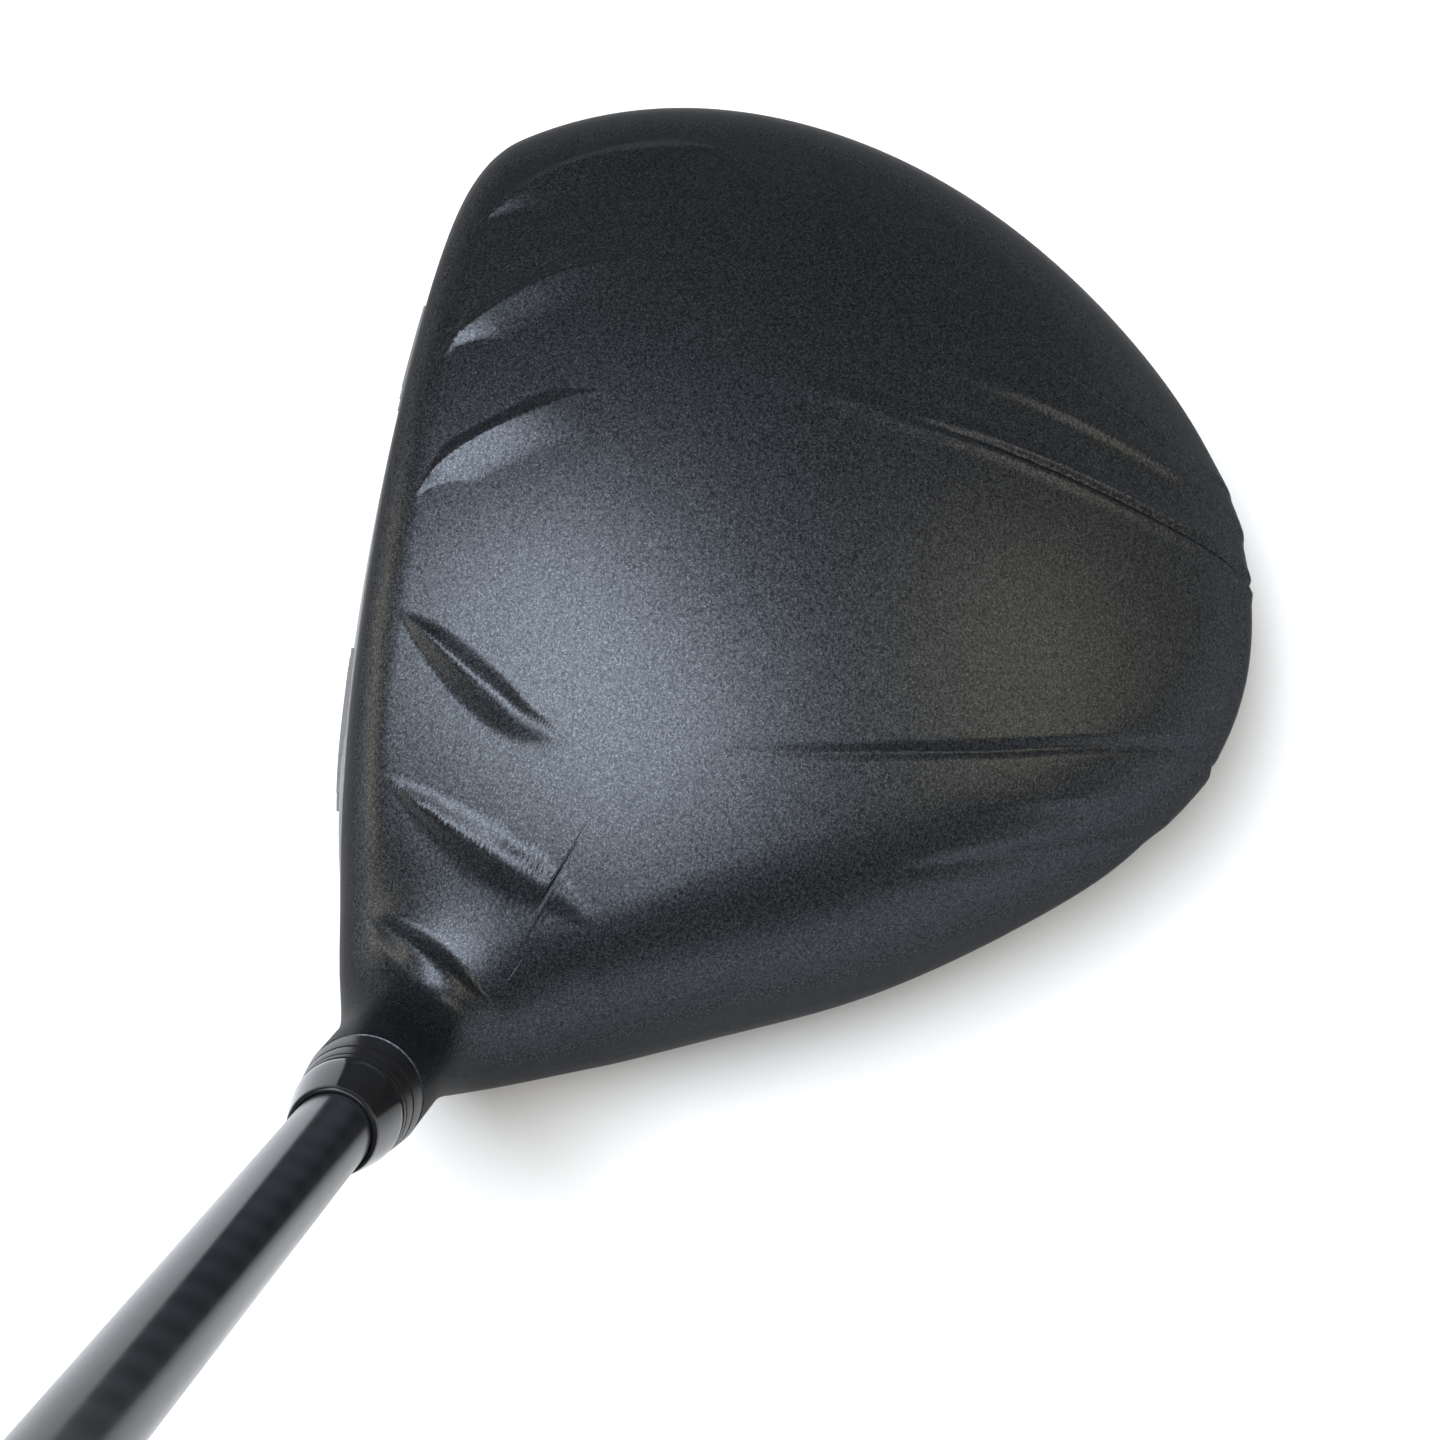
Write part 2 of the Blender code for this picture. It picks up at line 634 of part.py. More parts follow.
def make_grip(hosel_axis):
    rubber = material("grip_rubber", (0.020, 0.020, 0.021), 0.75, 0.0)
    cap_rubber = material("cap_rubber", (0.028, 0.028, 0.030), 0.60, 0.0)
    paper = material("tape_paper", (0.70, 0.66, 0.55), 0.80, 0.0)
    clear = 0.2
    tape = sleeve_along(
        lambda p: shaft_radius(p) + clear,
        lambda p: shaft_radius(p) + clear + TAPE_THICKNESS,
        GRIP_START + 2,
        SHAFT_END - 1,
        5,
    )
    turned("grip_tape", tape, paper, hosel_axis)
    grip = sleeve_along(
        lambda p: shaft_radius(p) + 2 * clear + TAPE_THICKNESS,
        grip_radius,
        GRIP_START,
        SHAFT_END,
        9,
    )
    turned("grip", grip, rubber, hosel_axis)
    cap_start = SHAFT_END + GAP
    cap_profile = [
        (VENT_RADIUS, cap_start),
        (CAP_RADIUS - 0.3, cap_start),
        (CAP_RADIUS, cap_start + 1.0),
        (CAP_RADIUS, CLUB_LENGTH - 1.6),
        (CAP_RADIUS - 0.5, CLUB_LENGTH - 0.5),
        (CAP_RADIUS - 1.6, CLUB_LENGTH),
        (VENT_RADIUS, CLUB_LENGTH),
    ]
    turned("grip_cap", cap_profile, cap_rubber, hosel_axis)


def main():
    for existing in list(bpy.data.objects):
        bpy.data.objects.remove(existing)
    hosel_axis = empty_at("hosel_axis", HEEL_POINT, (0.0, math.pi / 2 - LIE, 0.0))
    weight_axis = empty_at("weight_axis", WEIGHT_PORT, (WEIGHT_TILT - math.pi, 0.0, 0.0))
    make_head(hosel_axis, weight_axis)
    make_hosel_bolt(hosel_axis)
    make_rear_weight(weight_axis)
    make_adapter(hosel_axis)
    make_shaft(hosel_axis)
    make_grip(hosel_axis)


main()
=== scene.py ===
"""Looks of the golf driver: painted head with raised crown ribs, adjustable hosel, shaft, grip and screws.

Lengths in the constants are millimetres in the club's own frame; meshes are made in metres.
"""

import math

import bmesh
import bpy
import numpy as np
from mathutils import Matrix, Vector


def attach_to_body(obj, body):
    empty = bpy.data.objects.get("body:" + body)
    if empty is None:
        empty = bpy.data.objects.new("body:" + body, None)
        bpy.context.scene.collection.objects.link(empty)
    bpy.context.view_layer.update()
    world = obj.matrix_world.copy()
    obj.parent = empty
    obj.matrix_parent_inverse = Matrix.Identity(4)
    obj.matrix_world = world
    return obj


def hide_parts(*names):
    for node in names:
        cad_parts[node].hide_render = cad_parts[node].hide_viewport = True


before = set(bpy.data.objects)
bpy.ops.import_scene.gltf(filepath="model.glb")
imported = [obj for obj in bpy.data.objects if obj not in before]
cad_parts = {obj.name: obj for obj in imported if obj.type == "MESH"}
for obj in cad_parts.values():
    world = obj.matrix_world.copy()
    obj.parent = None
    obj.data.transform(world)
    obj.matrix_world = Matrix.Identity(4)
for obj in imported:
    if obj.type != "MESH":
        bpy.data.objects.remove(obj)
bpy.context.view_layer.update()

MM = 0.001

# Address position
LIE = math.radians(59.0)
LOFT = math.radians(9.5)
HEEL_POINT = np.array([35.0, -10.0, 0.0])
SHAFT_DIRECTION = np.array([math.cos(LIE), 0.0, math.sin(LIE)])
SHAFT_AHEAD = np.array([-math.sin(LIE), 0.0, math.cos(LIE)])
SHAFT_SIDEWAYS = np.array([0.0, 1.0, 0.0])

# Head skin
OUTLINE_CENTRE = (-5.0, 24.0)
OUTLINE = (
    (56.0, -6.0),
    (51.6, 16.0),
    (42.5, 37.5),
    (29.4, 58.3),
    (13.5, 76.0),
    (-6.0, 85.8),
    (-26.0, 82.0),
    (-44.2, 67.7),
    (-61.0, 46.5),
    (-70.8, 23.0),
    (-70.8, 0.0),
    (-59.0, -20.0),
    (-33.0, -34.0),
    (-2.0, -37.0),
    (30.0, -26.3),
    (50.0, -16.5),
)
CROWN_APEX = (-4.0, 4.0)
CROWN_CENTRE_Z = -36.0
CROWN_RADII = (100.0, 103.0, 97.5)
WIDEST_Z_FRONT = 30.0
WIDEST_Z_BACK = 24.0
SKIRT_RADIUS = 28.0
SOLE_RADII = (140.0, 170.0)
REST_PAD_DEPTH = 0.35
FACE_CENTRE_X = -5.0
FACE_MIDDLE_Z = 30.0
TOPLINE_Y = -21.0
TOPLINE_Z = 57.0
FACE_BULGE = 305.0
CROWN_EDGE_BLEND = 12.0
SOLE_EDGE_BLEND = 9.0
FACE_EDGE_BLEND = 4.5
NECK_BLEND = 14.0
HEAD_INSIDE = np.array([-5.0, 24.0, 28.0])
CROWN_JOINT = ((-150.0, 51.5), (-18.0, 51.5), (-4.0, 28.5), (66.0, 28.5), (82.0, 24.5), (150.0, 24.5))
PLATE_CENTRE = (-5.0, 29.0)
PLATE_HALF_SIZE = (46.0, 21.0)
PLATE_POWER = 2.5

# Hosel and adapter, along the shaft
HOSEL_TOP = 70.0
HOSEL_RADIUS = 6.8
HOSEL_ROOT = 18.0
NECK_ZONE_RADIUS = 15.0
NECK_ZONE_START = 38.0
HOSEL_BORE_RADIUS = 5.55
HOSEL_TUBE_RADIUS = 6.6
BOLT_PORT_RADIUS = 5.7
BOLT_SEAT = (16.0, 19.0)
BOLT_SEAT_HOLE = 2.9
RING_BOTTOM = 70.3
RING_TOP = 78.0
RING_RADII = (6.77, 6.12)
SLEEVE_START = 34.0
SLEEVE_END = 80.2
SLEEVE_RADIUS = 5.25
FERRULE_TOP = 86.8
FERRULE_TOP_RADIUS = 5.08

# Shaft and grip, along the shaft
SHAFT_START = 46.3
SHAFT_PARALLEL_END = 90.0
SHAFT_END = 1150.0
SHAFT_TIP_RADIUS = 4.4
SHAFT_BUTT_RADIUS = 7.6
SHAFT_TIP_WALL = 1.35
SHAFT_BUTT_WALL = 0.9
GRIP_START = 888.0
GRIP_MOUTH_RADIUS = 8.7
GRIP_BUTT_RADIUS = 13.0
CLUB_LENGTH = 1156.0
CAP_RADIUS = 13.6
VENT_RADIUS = 1.2

# Screws and the rear weight
BOLT_TIP = 40.0
BOLT_RADIUS = 2.4
BOLT_HEAD = (9.0, 13.7)
BOLT_HEAD_RADIUS = 4.2
THREAD_PITCH = 0.8
WEIGHT_PORT = np.array([-5.0, 63.0, 11.4])
WEIGHT_TILT = math.radians(20.3)
PORT_RADIUS = 9.3
WEIGHT_RADIUS = 9.0
WEIGHT_TOP = -0.6
SCREW_HEAD_RADIUS = 4.8
SCREW_TIP = -12.3

# Raised crown ribs behind the face, from toe to heel: the crest's plan points, front to rear, and its height
RIBS = (
    (
        [(-39.3, -17.2), (-46.0, -12.0), (-51.4, -5.9), (-54.7, 0.6), (-56.5, 6.2), (-57.2, 11.5)],
        0.95,
    ),
    (
        [
            (-19.1, -17.1), (-22.8, -15.3), (-26.3, -12.3), (-30.6, -7.5),
            (-33.0, -4.2), (-35.5, 0.9), (-37.8, 5.9),
        ],
        0.95,
    ),
    (
        [
            (-0.5, -17.3), (-5.1, -14.3), (-7.9, -11.4), (-11.1, -6.9),
            (-14.0, -2.4), (-15.6, 0.6), (-16.8, 3.6),
        ],
        0.95,
    ),
    (
        [(12.7, -16.8), (15.6, -12.8), (19.3, -7.7), (21.8, -4.0), (24.0, -0.5), (25.2, 2.9), (26.6, 6.4)],
        1.0,
    ),
    (
        [(31.2, -15.6), (33.4, -12.5), (36.0, -7.9), (38.6, -2.4), (40.8, 3.0), (42.2, 6.5), (45.4, 12.0)],
        1.0,
    ),
    (
        [(45.4, -16.0), (47.6, -13.0), (49.8, -9.6), (52.0, -6.1), (53.3, -3.9), (54.3, -1.9), (55.6, 2.2)],
        1.15,
    ),
)
TOE_SIDE_END = 5.0
RIB_REACH = 7.0

# Creases towards the tail: plan points, half widths left and right, height (negative cuts in), rounding
LONG_CREASE = [(-19.9, 39.8), (-19.5, 48.6), (-18.8, 57.5), (-17.9, 66.6), (-17.0, 75.8), (-15.6, 84.0)]
CREASES = (
    ([(-21.9, 14.0), (-21.2, 24.4), (-20.3, 33.2), *LONG_CREASE], 2.2, 2.2, 0.42, 0.4),
    ([(-20.6, 30.0), *LONG_CREASE], 0.8, 0.8, -0.85, 0.2),
    (
        [(-28.4, 36.0), (-27.6, 52.0), (-26.4, 61.1), (-25.3, 68.0), (-24.3, 73.7), (-22.0, 81.0)],
        7.0, 1.4, 0.42, 0.2,
    ),
    (
        [(-37.5, 42.0), (-33.4, 55.8), (-31.0, 62.8), (-28.8, 70.0), (-28.1, 75.3), (-26.4, 80.0)],
        5.0, 0.8, 0.22, 0.2,
    ),
    (
        [(24.9, 20.4), (22.7, 32.7), (20.7, 40.9), (17.1, 53.2), (12.3, 65.7), (6.0, 80.0)],
        1.1, 1.1, -0.55, 0.2,
    ),
    (
        [(25.6, 45.8), (22.1, 56.0), (17.4, 66.4), (13.6, 72.6), (8.3, 77.6), (6.6, 80.0)],
        6.0, 1.4, 0.40, 0.2,
    ),
    (
        [(34.4, 39.5), (30.5, 48.4), (26.6, 56.5), (23.3, 62.7), (19.1, 68.9), (15.0, 74.0)],
        0.9, 1.6, -0.45, 0.2,
    ),
)
CREASE_REACH = 8.0

# Heights between which the relief fades out on the skirt, and the step that measures its slope
RELIEF_FULL = 23.0
RELIEF_END = 13.0
SLOPE_STEP = 0.06

# Fineness of the painted skins
COLUMNS = 560
CROWN_ROWS = 148
BODY_ROWS = 78
INNER_ROWS = 14
PAINTED_THICKNESS = 1.3
STUB_TOP = 56.0
FACE_BEHIND_Y = -12.0
FACE_THICKNESS = 2.6
FACE_GAP = 0.06
TUBE_GAP = 0.04
GRIP_SWELL_POWER = 1.35


# ------------------------------
# Head skin
# ------------------------------


def closed_spline(angles, values):
    """A periodic cubic spline through values at the given rising angles, as a function of the angle."""
    count = len(angles)
    steps = np.diff(np.append(angles, angles[0] + 2 * math.pi))
    slopes = (np.roll(values, -1) - values) / steps
    matrix = np.zeros((count, count))
    for i in range(count):
        matrix[i, i - 1] += steps[i - 1]
        matrix[i, i] += 2 * (steps[i - 1] + steps[i])
        matrix[i, (i + 1) % count] += steps[i]
    bends = np.linalg.solve(matrix, 6 * (slopes - np.roll(slopes, 1)))

    def value_at(angle):
        turned = (angle - angles[0]) % (2 * math.pi) + angles[0]
        left = np.clip(np.searchsorted(angles, turned, side="right") - 1, 0, count - 1)
        right = (left + 1) % count
        step = steps[left]
        after = turned - angles[left]
        before = step - after
        curve = (bends[left] * before**3 + bends[right] * after**3) / (6 * step)
        line_left = (values[left] / step - bends[left] * step / 6) * before
        line_right = (values[right] / step - bends[right] * step / 6) * after
        return curve + line_left + line_right

    return value_at


def outline_radius():
    offsets = np.array(OUTLINE) - OUTLINE_CENTRE
    angles = np.arctan2(offsets[:, 1], offsets[:, 0])
    order = np.argsort(angles)
    return closed_spline(angles[order], np.hypot(offsets[:, 0], offsets[:, 1])[order])


OUTLINE_RADIUS = outline_radius()


def smooth_max(a, b, blend):
    closeness = np.clip(blend - np.abs(a - b), 0, None) / blend
    return np.maximum(a, b) + closeness * closeness * blend / 4


def face_surface(x, z):
    """Where the bulged and rolled face lies, from front to back, for numbers, arrays or sockets."""
    bulge = (x - FACE_CENTRE_X) ** 2.0 / (2 * FACE_BULGE)
    roll = ((z - FACE_MIDDLE_Z) ** 2.0 - (TOPLINE_Z - FACE_MIDDLE_Z) ** 2) / (2 * FACE_BULGE)
    return TOPLINE_Y - (TOPLINE_Z - z) * math.tan(LOFT) + bulge + roll


def head_distance(points):
    """Roughly the signed distance in millimetres from the head's outer surface, without its hosel."""
    x, y, z = points[..., 0], points[..., 1], points[..., 2]
    u = (x - CROWN_APEX[0]) / CROWN_RADII[0]
    v = (y - CROWN_APEX[1]) / CROWN_RADII[1]
    rise = np.sqrt(np.clip(1 - u * u - v * v, 0.02, None))
    steepness = (CROWN_RADII[2] / rise) ** 2 * ((u / CROWN_RADII[0]) ** 2 + (v / CROWN_RADII[1]) ** 2)
    crown = (z - CROWN_CENTRE_Z - CROWN_RADII[2] * rise) / np.sqrt(1 + steepness)
    back = np.clip((y + 22.0) / 103.0, 0, 1)
    widest_z = WIDEST_Z_FRONT + (WIDEST_Z_BACK - WIDEST_Z_FRONT) * back
    dx, dy = x - OUTLINE_CENTRE[0], y - OUTLINE_CENTRE[1]
    tuck = np.clip(widest_z - z, 0, None) ** 2 / (2 * SKIRT_RADIUS)
    skirt = np.hypot(dx, dy) - OUTLINE_RADIUS(np.arctan2(dy, dx)) + tuck
    camber = x * x / (2 * SOLE_RADII[0]) + y * y / (2 * SOLE_RADII[1]) - REST_PAD_DEPTH
    sole = 0.9 * (np.maximum(camber, 0.0) - z)
    face = face_surface(x, z) - y
    upper = smooth_max(crown, skirt, CROWN_EDGE_BLEND)
    body = smooth_max(upper, sole, SOLE_EDGE_BLEND)
    return smooth_max(body, face, FACE_EDGE_BLEND)


def shaft_coordinates(points):
    """Distance along the shaft's axis and away from it."""
    offsets = points - HEEL_POINT
    along = offsets @ SHAFT_DIRECTION
    return along, np.linalg.norm(offsets - along[..., None] * SHAFT_DIRECTION, axis=-1)


def outer_distance(points):
    along, across = shaft_coordinates(points)
    hosel = np.maximum(across - HOSEL_RADIUS, np.maximum(along - HOSEL_TOP - 2.0, HOSEL_ROOT - along))
    return -smooth_max(-head_distance(points), -hosel, NECK_BLEND)


def outer_normal(points, step=0.02):
    gradient = np.zeros_like(points)
    for axis in range(3):
        shift = np.zeros(3)
        shift[axis] = step
        gradient[..., axis] = outer_distance(points + shift) - outer_distance(points - shift)
    return gradient / np.linalg.norm(gradient, axis=-1, keepdims=True)


def halve(inside, near, far, count=26):
    """Refines the place where a test changes from true at near to false at far."""
    for _ in range(count):
        middle = (near + far) / 2
        kept = inside(middle)
        near = np.where(kept, middle, near)
        far = np.where(kept, far, middle)
    return (near + far) / 2


def cast_rays(distance, origins, directions, reach, samples=44):
    """How far each ray runs from inside the surface before it first leaves it, at most reach."""
    steps = np.linspace(0, reach, samples)
    outside = np.stack([distance(origins + directions * step) > 0 for step in steps], axis=-1)
    first = np.where(outside.any(axis=-1), np.argmax(outside, axis=-1), samples - 1)
    near = steps[np.maximum(first - 1, 0)]
    far = steps[np.maximum(first, 1)]
    return halve(lambda t: distance(origins + directions * t[..., None]) <= 0, near, far)


# ------------------------------
# Raised ribs and creases
# ------------------------------


def smooth_path(points, count=96):
    """A Catmull-Rom curve through plan points, evenly sampled."""
    points = np.array(points, float)
    padded = np.vstack([2 * points[0] - points[1], points, 2 * points[-1] - points[-2]])
    places = np.linspace(0, len(points) - 1, 400)
    cell = np.minimum(places.astype(int), len(points) - 2)
    t = (places - cell)[:, None]
    a, b, c, d = (padded[cell + k] for k in range(4))
    curve = 0.5 * (2 * b + (c - a) * t + (2 * a - 5 * b + 4 * c - d) * t**2 + (3 * b - a - 3 * c + d) * t**3)
    for _ in range(30):
        curve[1:-1] = (curve[:-2] + 2 * curve[1:-1] + curve[2:]) / 4
    lengths = np.concatenate([[0], np.cumsum(np.linalg.norm(np.diff(curve, axis=0), axis=1))])
    even = np.linspace(0, lengths[-1], count)
    return np.stack([np.interp(even, lengths, curve[:, k]) for k in (0, 1)], axis=1)


def near_path(path, x, y, reach):
    """For plan points near a path: their indices, share along it, signed distance (left positive)."""
    low, high = path.min(0) - reach, path.max(0) + reach
    chosen = np.flatnonzero((x > low[0]) & (x < high[0]) & (y > low[1]) & (y < high[1]))
    if not len(chosen):
        return chosen, None, None
    points = np.stack([x[chosen], y[chosen]], axis=1)
    best = np.full(len(chosen), 1e9)
    share = np.zeros(len(chosen))
    side = np.zeros(len(chosen))
    for k in range(len(path) - 1):
        start, line = path[k], path[k + 1] - path[k]
        t = ((points - start) @ line) / (line @ line)
        t = np.clip(t, 0 if k else -1e9, 1 if k < len(path) - 2 else 1e9)
        offset = points - start - t[:, None] * line
        distance = np.hypot(offset[:, 0], offset[:, 1])
        nearer = distance < best
        best = np.where(nearer, distance, best)
        share = np.where(nearer, (k + t) / (len(path) - 1), share)
        cross = line[0] * offset[:, 1] - line[1] * offset[:, 0]
        side = np.where(nearer, np.sign(cross), side)
    return chosen, share, best * side


def flank(distance, width, power, rounding):
    """1 on the crest, falling to 0 at width."""
    soft = np.sqrt(distance**2 + rounding**2) - rounding
    return np.clip(1 - soft / width, 0, 1) ** power


def rise_and_fade(share, front, rear):
    """A leaf's height along its length: a quick rise at the front tip and a slow fade at the rear."""
    rise = np.clip(share / front, 0, 1)
    fade = np.clip((1 - share) / rear, 0, 1)
    return (rise * rise * (3 - 2 * rise)) * (fade * fade * (3 - 2 * fade))


RIB_PATHS = [smooth_path(points) for points, *_ in RIBS]
CREASE_PATHS = [smooth_path(points) for points, *_ in CREASES]


def roof(distance, flat, width, sharpness):
    """A flank's height: 1 over the flat crest, then down to 0, straight where sharp and rounded where not."""
    u = np.clip((distance - flat) / width, 0, 1)
    rounded = (1 - u) ** 2 * (1 + 2 * u)
    return sharpness * (1 - u) ** 1.5 + (1 - sharpness) * rounded


def toe_rib(share, signed):
    """A rib on the toe side: a broad hollow flank towards the middle and a narrow steep one outside."""
    envelope = rise_and_fade(share, 0.2, 0.55)
    pinch = np.clip(rise_and_fade(share, 0.35, 0.3) * 1.2, 0.15, 1)
    inner = flank(np.abs(signed), (4.2 + 1.6 * share) * pinch, 1.6, 0.15)
    outer = roof(np.abs(signed), 0.0, (1.7 + 0.4 * share) * pinch, 0.35)
    return np.where(signed > 0, inner, outer) * envelope


def heel_rib(share, signed):
    """A rib on the heel side: sharp at the front, its crest widening and rounding towards the rear."""
    envelope = rise_and_fade(share, 0.22, 0.42)
    pinch = np.clip(np.sin(math.pi * share), 0.08, 1) ** 0.8
    sharp = np.clip(1.1 - 1.2 * share, 0.2, 1)
    crest = 0.5 * np.clip(share - 0.1, 0, 1) * pinch
    inner = roof(np.abs(signed), crest, (3.5 - 1.9 * share) * pinch, sharp)
    outer = roof(np.abs(signed), crest, (2.3 + 1.4 * share) * pinch, sharp * 0.6)
    return np.where(signed > 0, inner, outer) * envelope


def relief(x, y):
    """How far the crown's skin stands out at plan points, in millimetres."""
    height = np.zeros_like(x)
    for (_, tall), path in zip(RIBS, RIB_PATHS):
        chosen, share, signed = near_path(path, x, y, RIB_REACH)
        if not len(chosen):
            continue
        share = np.clip(share, 0, 1)
        on_toe_side = path[0, 0] < TOE_SIDE_END
        value = toe_rib(share, -signed) if on_toe_side else heel_rib(share, signed)
        height[chosen] = np.maximum(height[chosen], value * tall)
    for (_, left, right, tall, rounding), path in zip(CREASES, CREASE_PATHS):
        chosen, share, signed = near_path(path, x, y, CREASE_REACH)
        if not len(chosen):
            continue
        envelope = rise_and_fade(share, 0.5, 0.04)
        width = np.where(signed > 0, left, right)
        height[chosen] += flank(np.abs(signed), width, 1.6, rounding) * envelope * tall
    return height


def displaced(points, normals):
    """Crown points pushed out by the relief, with normals to match."""
    x, y, step = points[:, 0], points[:, 1], SLOPE_STEP
    fade = np.clip((points[:, 2] - RELIEF_END) / (RELIEF_FULL - RELIEF_END), 0, 1)
    height = relief(x, y) * fade
    slope_x = (relief(x + step, y) - relief(x - step, y)) / (2 * step)
    slope_y = (relief(x, y + step) - relief(x, y - step)) / (2 * step)
    slope = np.stack([slope_x * fade, slope_y * fade, np.zeros_like(x)], axis=1)
    slope -= (slope * normals).sum(1, keepdims=True) * normals
    turned = normals - slope
    turned /= np.linalg.norm(turned, axis=1, keepdims=True)
    return points + normals * height[:, None], turned


# ------------------------------
# Mesh makers
# ------------------------------


def new_object(name, mesh, material=None):
    made = bpy.data.objects.new(name, mesh)
    bpy.context.scene.collection.objects.link(made)
    if material is not None:
        mesh.materials.append(material)
    return made


def mesh_of(name, vertices, faces, smooth_angle=35.0):
    """A mesh in metres from millimetre vertices, its faces as given."""
    mesh = bpy.data.meshes.new(name)
    mesh.from_pydata((np.asarray(vertices, float) * MM).tolist(), [], faces)
    mesh.update()
    mesh.shade_smooth()
    if smooth_angle is not None:
        mesh.set_sharp_from_angle(angle=math.radians(smooth_angle))
    return mesh


def grid_faces(rows, columns, first=0, flip=False):
    """Quads between closed rings of vertices that follow each other."""
    faces = []
    for row in range(rows - 1):
        for k in range(columns):
            after = (k + 1) % columns
            a, b = first + row * columns + k, first + row * columns + after
            c, d = b + columns, a + columns
            faces.append((a, d, c, b) if flip else (a, b, c, d))
    return faces


def set_skin_normals(made, normal_at, lowest_match=0.8):
    """Gives the corners on the painted skin its exact normal, so that joints between pieces don't show."""
    mesh = made.data
    count = len(mesh.vertices)
    places = np.empty(count * 3, np.float32)
    mesh.vertices.foreach_get("co", places)
    points = places.reshape(-1, 3).astype(float) / MM
    exact, on_skin = normal_at(points)
    loops = len(mesh.loops)
    vertex_of = np.empty(loops, np.int32)
    mesh.loops.foreach_get("vertex_index", vertex_of)
    corner = np.empty(loops * 3, np.float32)
    mesh.corner_normals.foreach_get("vector", corner)
    corner = corner.reshape(-1, 3).astype(float)
    face_normal = np.empty(len(mesh.polygons) * 3, np.float32)
    mesh.polygons.foreach_get("normal", face_normal)
    totals = np.empty(len(mesh.polygons), np.int32)
    mesh.polygons.foreach_get("loop_total", totals)
    of_face = np.repeat(face_normal.reshape(-1, 3), totals, axis=0)
    wanted = exact[vertex_of]
    used = on_skin[vertex_of] & ((of_face * wanted).sum(1) > lowest_match)
    corner[used] = wanted[used]
    mesh.normals_split_custom_set(corner.tolist())


def to_club(local):
    """Points about the shaft's axis (ahead, sideways, along) in the club's frame."""
    local = np.asarray(local, float)
    return (
        HEEL_POINT
        + local[..., 0:1] * SHAFT_AHEAD
        + local[..., 1:2] * SHAFT_SIDEWAYS
        + local[..., 2:3] * SHAFT_DIRECTION
    )


PORT_OUT = np.array([0.0, math.sin(WEIGHT_TILT), -math.cos(WEIGHT_TILT)])
PORT_ACROSS = np.array([0.0, math.cos(WEIGHT_TILT), math.sin(WEIGHT_TILT)])


def to_port(local):
    """Points about the weight port's axis in the club's frame."""
    local = np.asarray(local, float)
    return (
        WEIGHT_PORT
        + local[..., 0:1] * np.array([1.0, 0.0, 0.0])
        + local[..., 1:2] * PORT_ACROSS
        + local[..., 2:3] * PORT_OUT
    )


def turned_mesh(name, profile, place, segments=96, smooth_angle=35.0):
    """A turned solid from a closed profile of (radius, height) points."""
    angles = np.arange(segments) * 2 * math.pi / segments
    vertices, rings = [], []
    for radius, height in profile:
        start = len(vertices)
        if radius == 0:
            vertices.append((0.0, 0.0, height))
            rings.append([start] * segments)
            continue
        vertices += [(radius * math.cos(a), radius * math.sin(a), height) for a in angles]
        rings.append(list(range(start, start + segments)))
    faces = []
    for ring, following in zip(rings, rings[1:] + rings[:1]):
        for k in range(segments):
            after = (k + 1) % segments
            face = tuple(dict.fromkeys((ring[k], ring[after], following[after], following[k])))
            if len(face) > 2:
                faces.append(face)
    mesh = mesh_of(name, place(np.array(vertices)), faces, None)
    return outward(mesh, smooth_angle)


def outward(mesh, smooth_angle=35.0):
    """Turns a closed mesh's faces outwards and marks its sharp edges."""
    shape = bmesh.new()
    shape.from_mesh(mesh)
    bmesh.ops.remove_doubles(shape, verts=shape.verts, dist=1e-7)
    bmesh.ops.recalc_face_normals(shape, faces=shape.faces)
    shape.to_mesh(mesh)
    shape.free()
    mesh.shade_smooth()
    if smooth_angle is not None:
        mesh.set_sharp_from_angle(angle=math.radians(smooth_angle))
    return mesh


def round_corners(profile, radius, steps=4):
    """A closed profile with its corners rounded, apart from those on the axis."""
    rounded = []
    count = len(profile)
    for k, corner in enumerate(profile):
        corner = np.array(corner, float)
        if corner[0] == 0:
            rounded.append(tuple(corner))
            continue
        before = np.array(profile[k - 1], float) - corner
        after = np.array(profile[(k + 1) % count], float) - corner
        room = min(np.linalg.norm(before), np.linalg.norm(after)) * 0.45
        size = min(radius, room)
        start = corner + before / np.linalg.norm(before) * size
        end = corner + after / np.linalg.norm(after) * size
        for t in np.linspace(0, 1, steps):
            point = (1 - t) ** 2 * start + 2 * t * (1 - t) * corner + t * t * end
            rounded.append((float(point[0]), float(point[1])))
    return rounded


def turned_piece(name, profile, material, place=to_club, rounding=0.25, segments=96):
    mesh = turned_mesh(name, round_corners(profile, rounding) if rounding else profile, place, segments)
    return new_object(name, mesh, material)


def cut(target, other):
    """Adds a cut of one closed object by another, which settled() applies."""
    modifier = target.modifiers.new("cut", "BOOLEAN")
    modifier.operation = "DIFFERENCE"
    modifier.object = other
    modifier.solver = "MANIFOLD"


def settled(made, smooth_angle=35.0):
    """Applies the modifiers of an object, deletes what they used, and gives it a plain mesh."""
    graph = bpy.context.evaluated_depsgraph_get()
    mesh = bpy.data.meshes.new_from_object(made.evaluated_get(graph), depsgraph=graph)
    helpers = [m.object for m in made.modifiers if m.type == "BOOLEAN"]
    made.modifiers.clear()
    made.data = mesh
    for helper in helpers:
        bpy.data.objects.remove(helper)
    if smooth_angle is not None:
        mesh.set_sharp_from_angle(angle=math.radians(smooth_angle))
    return made


# ------------------------------
# Node trees
# ------------------------------


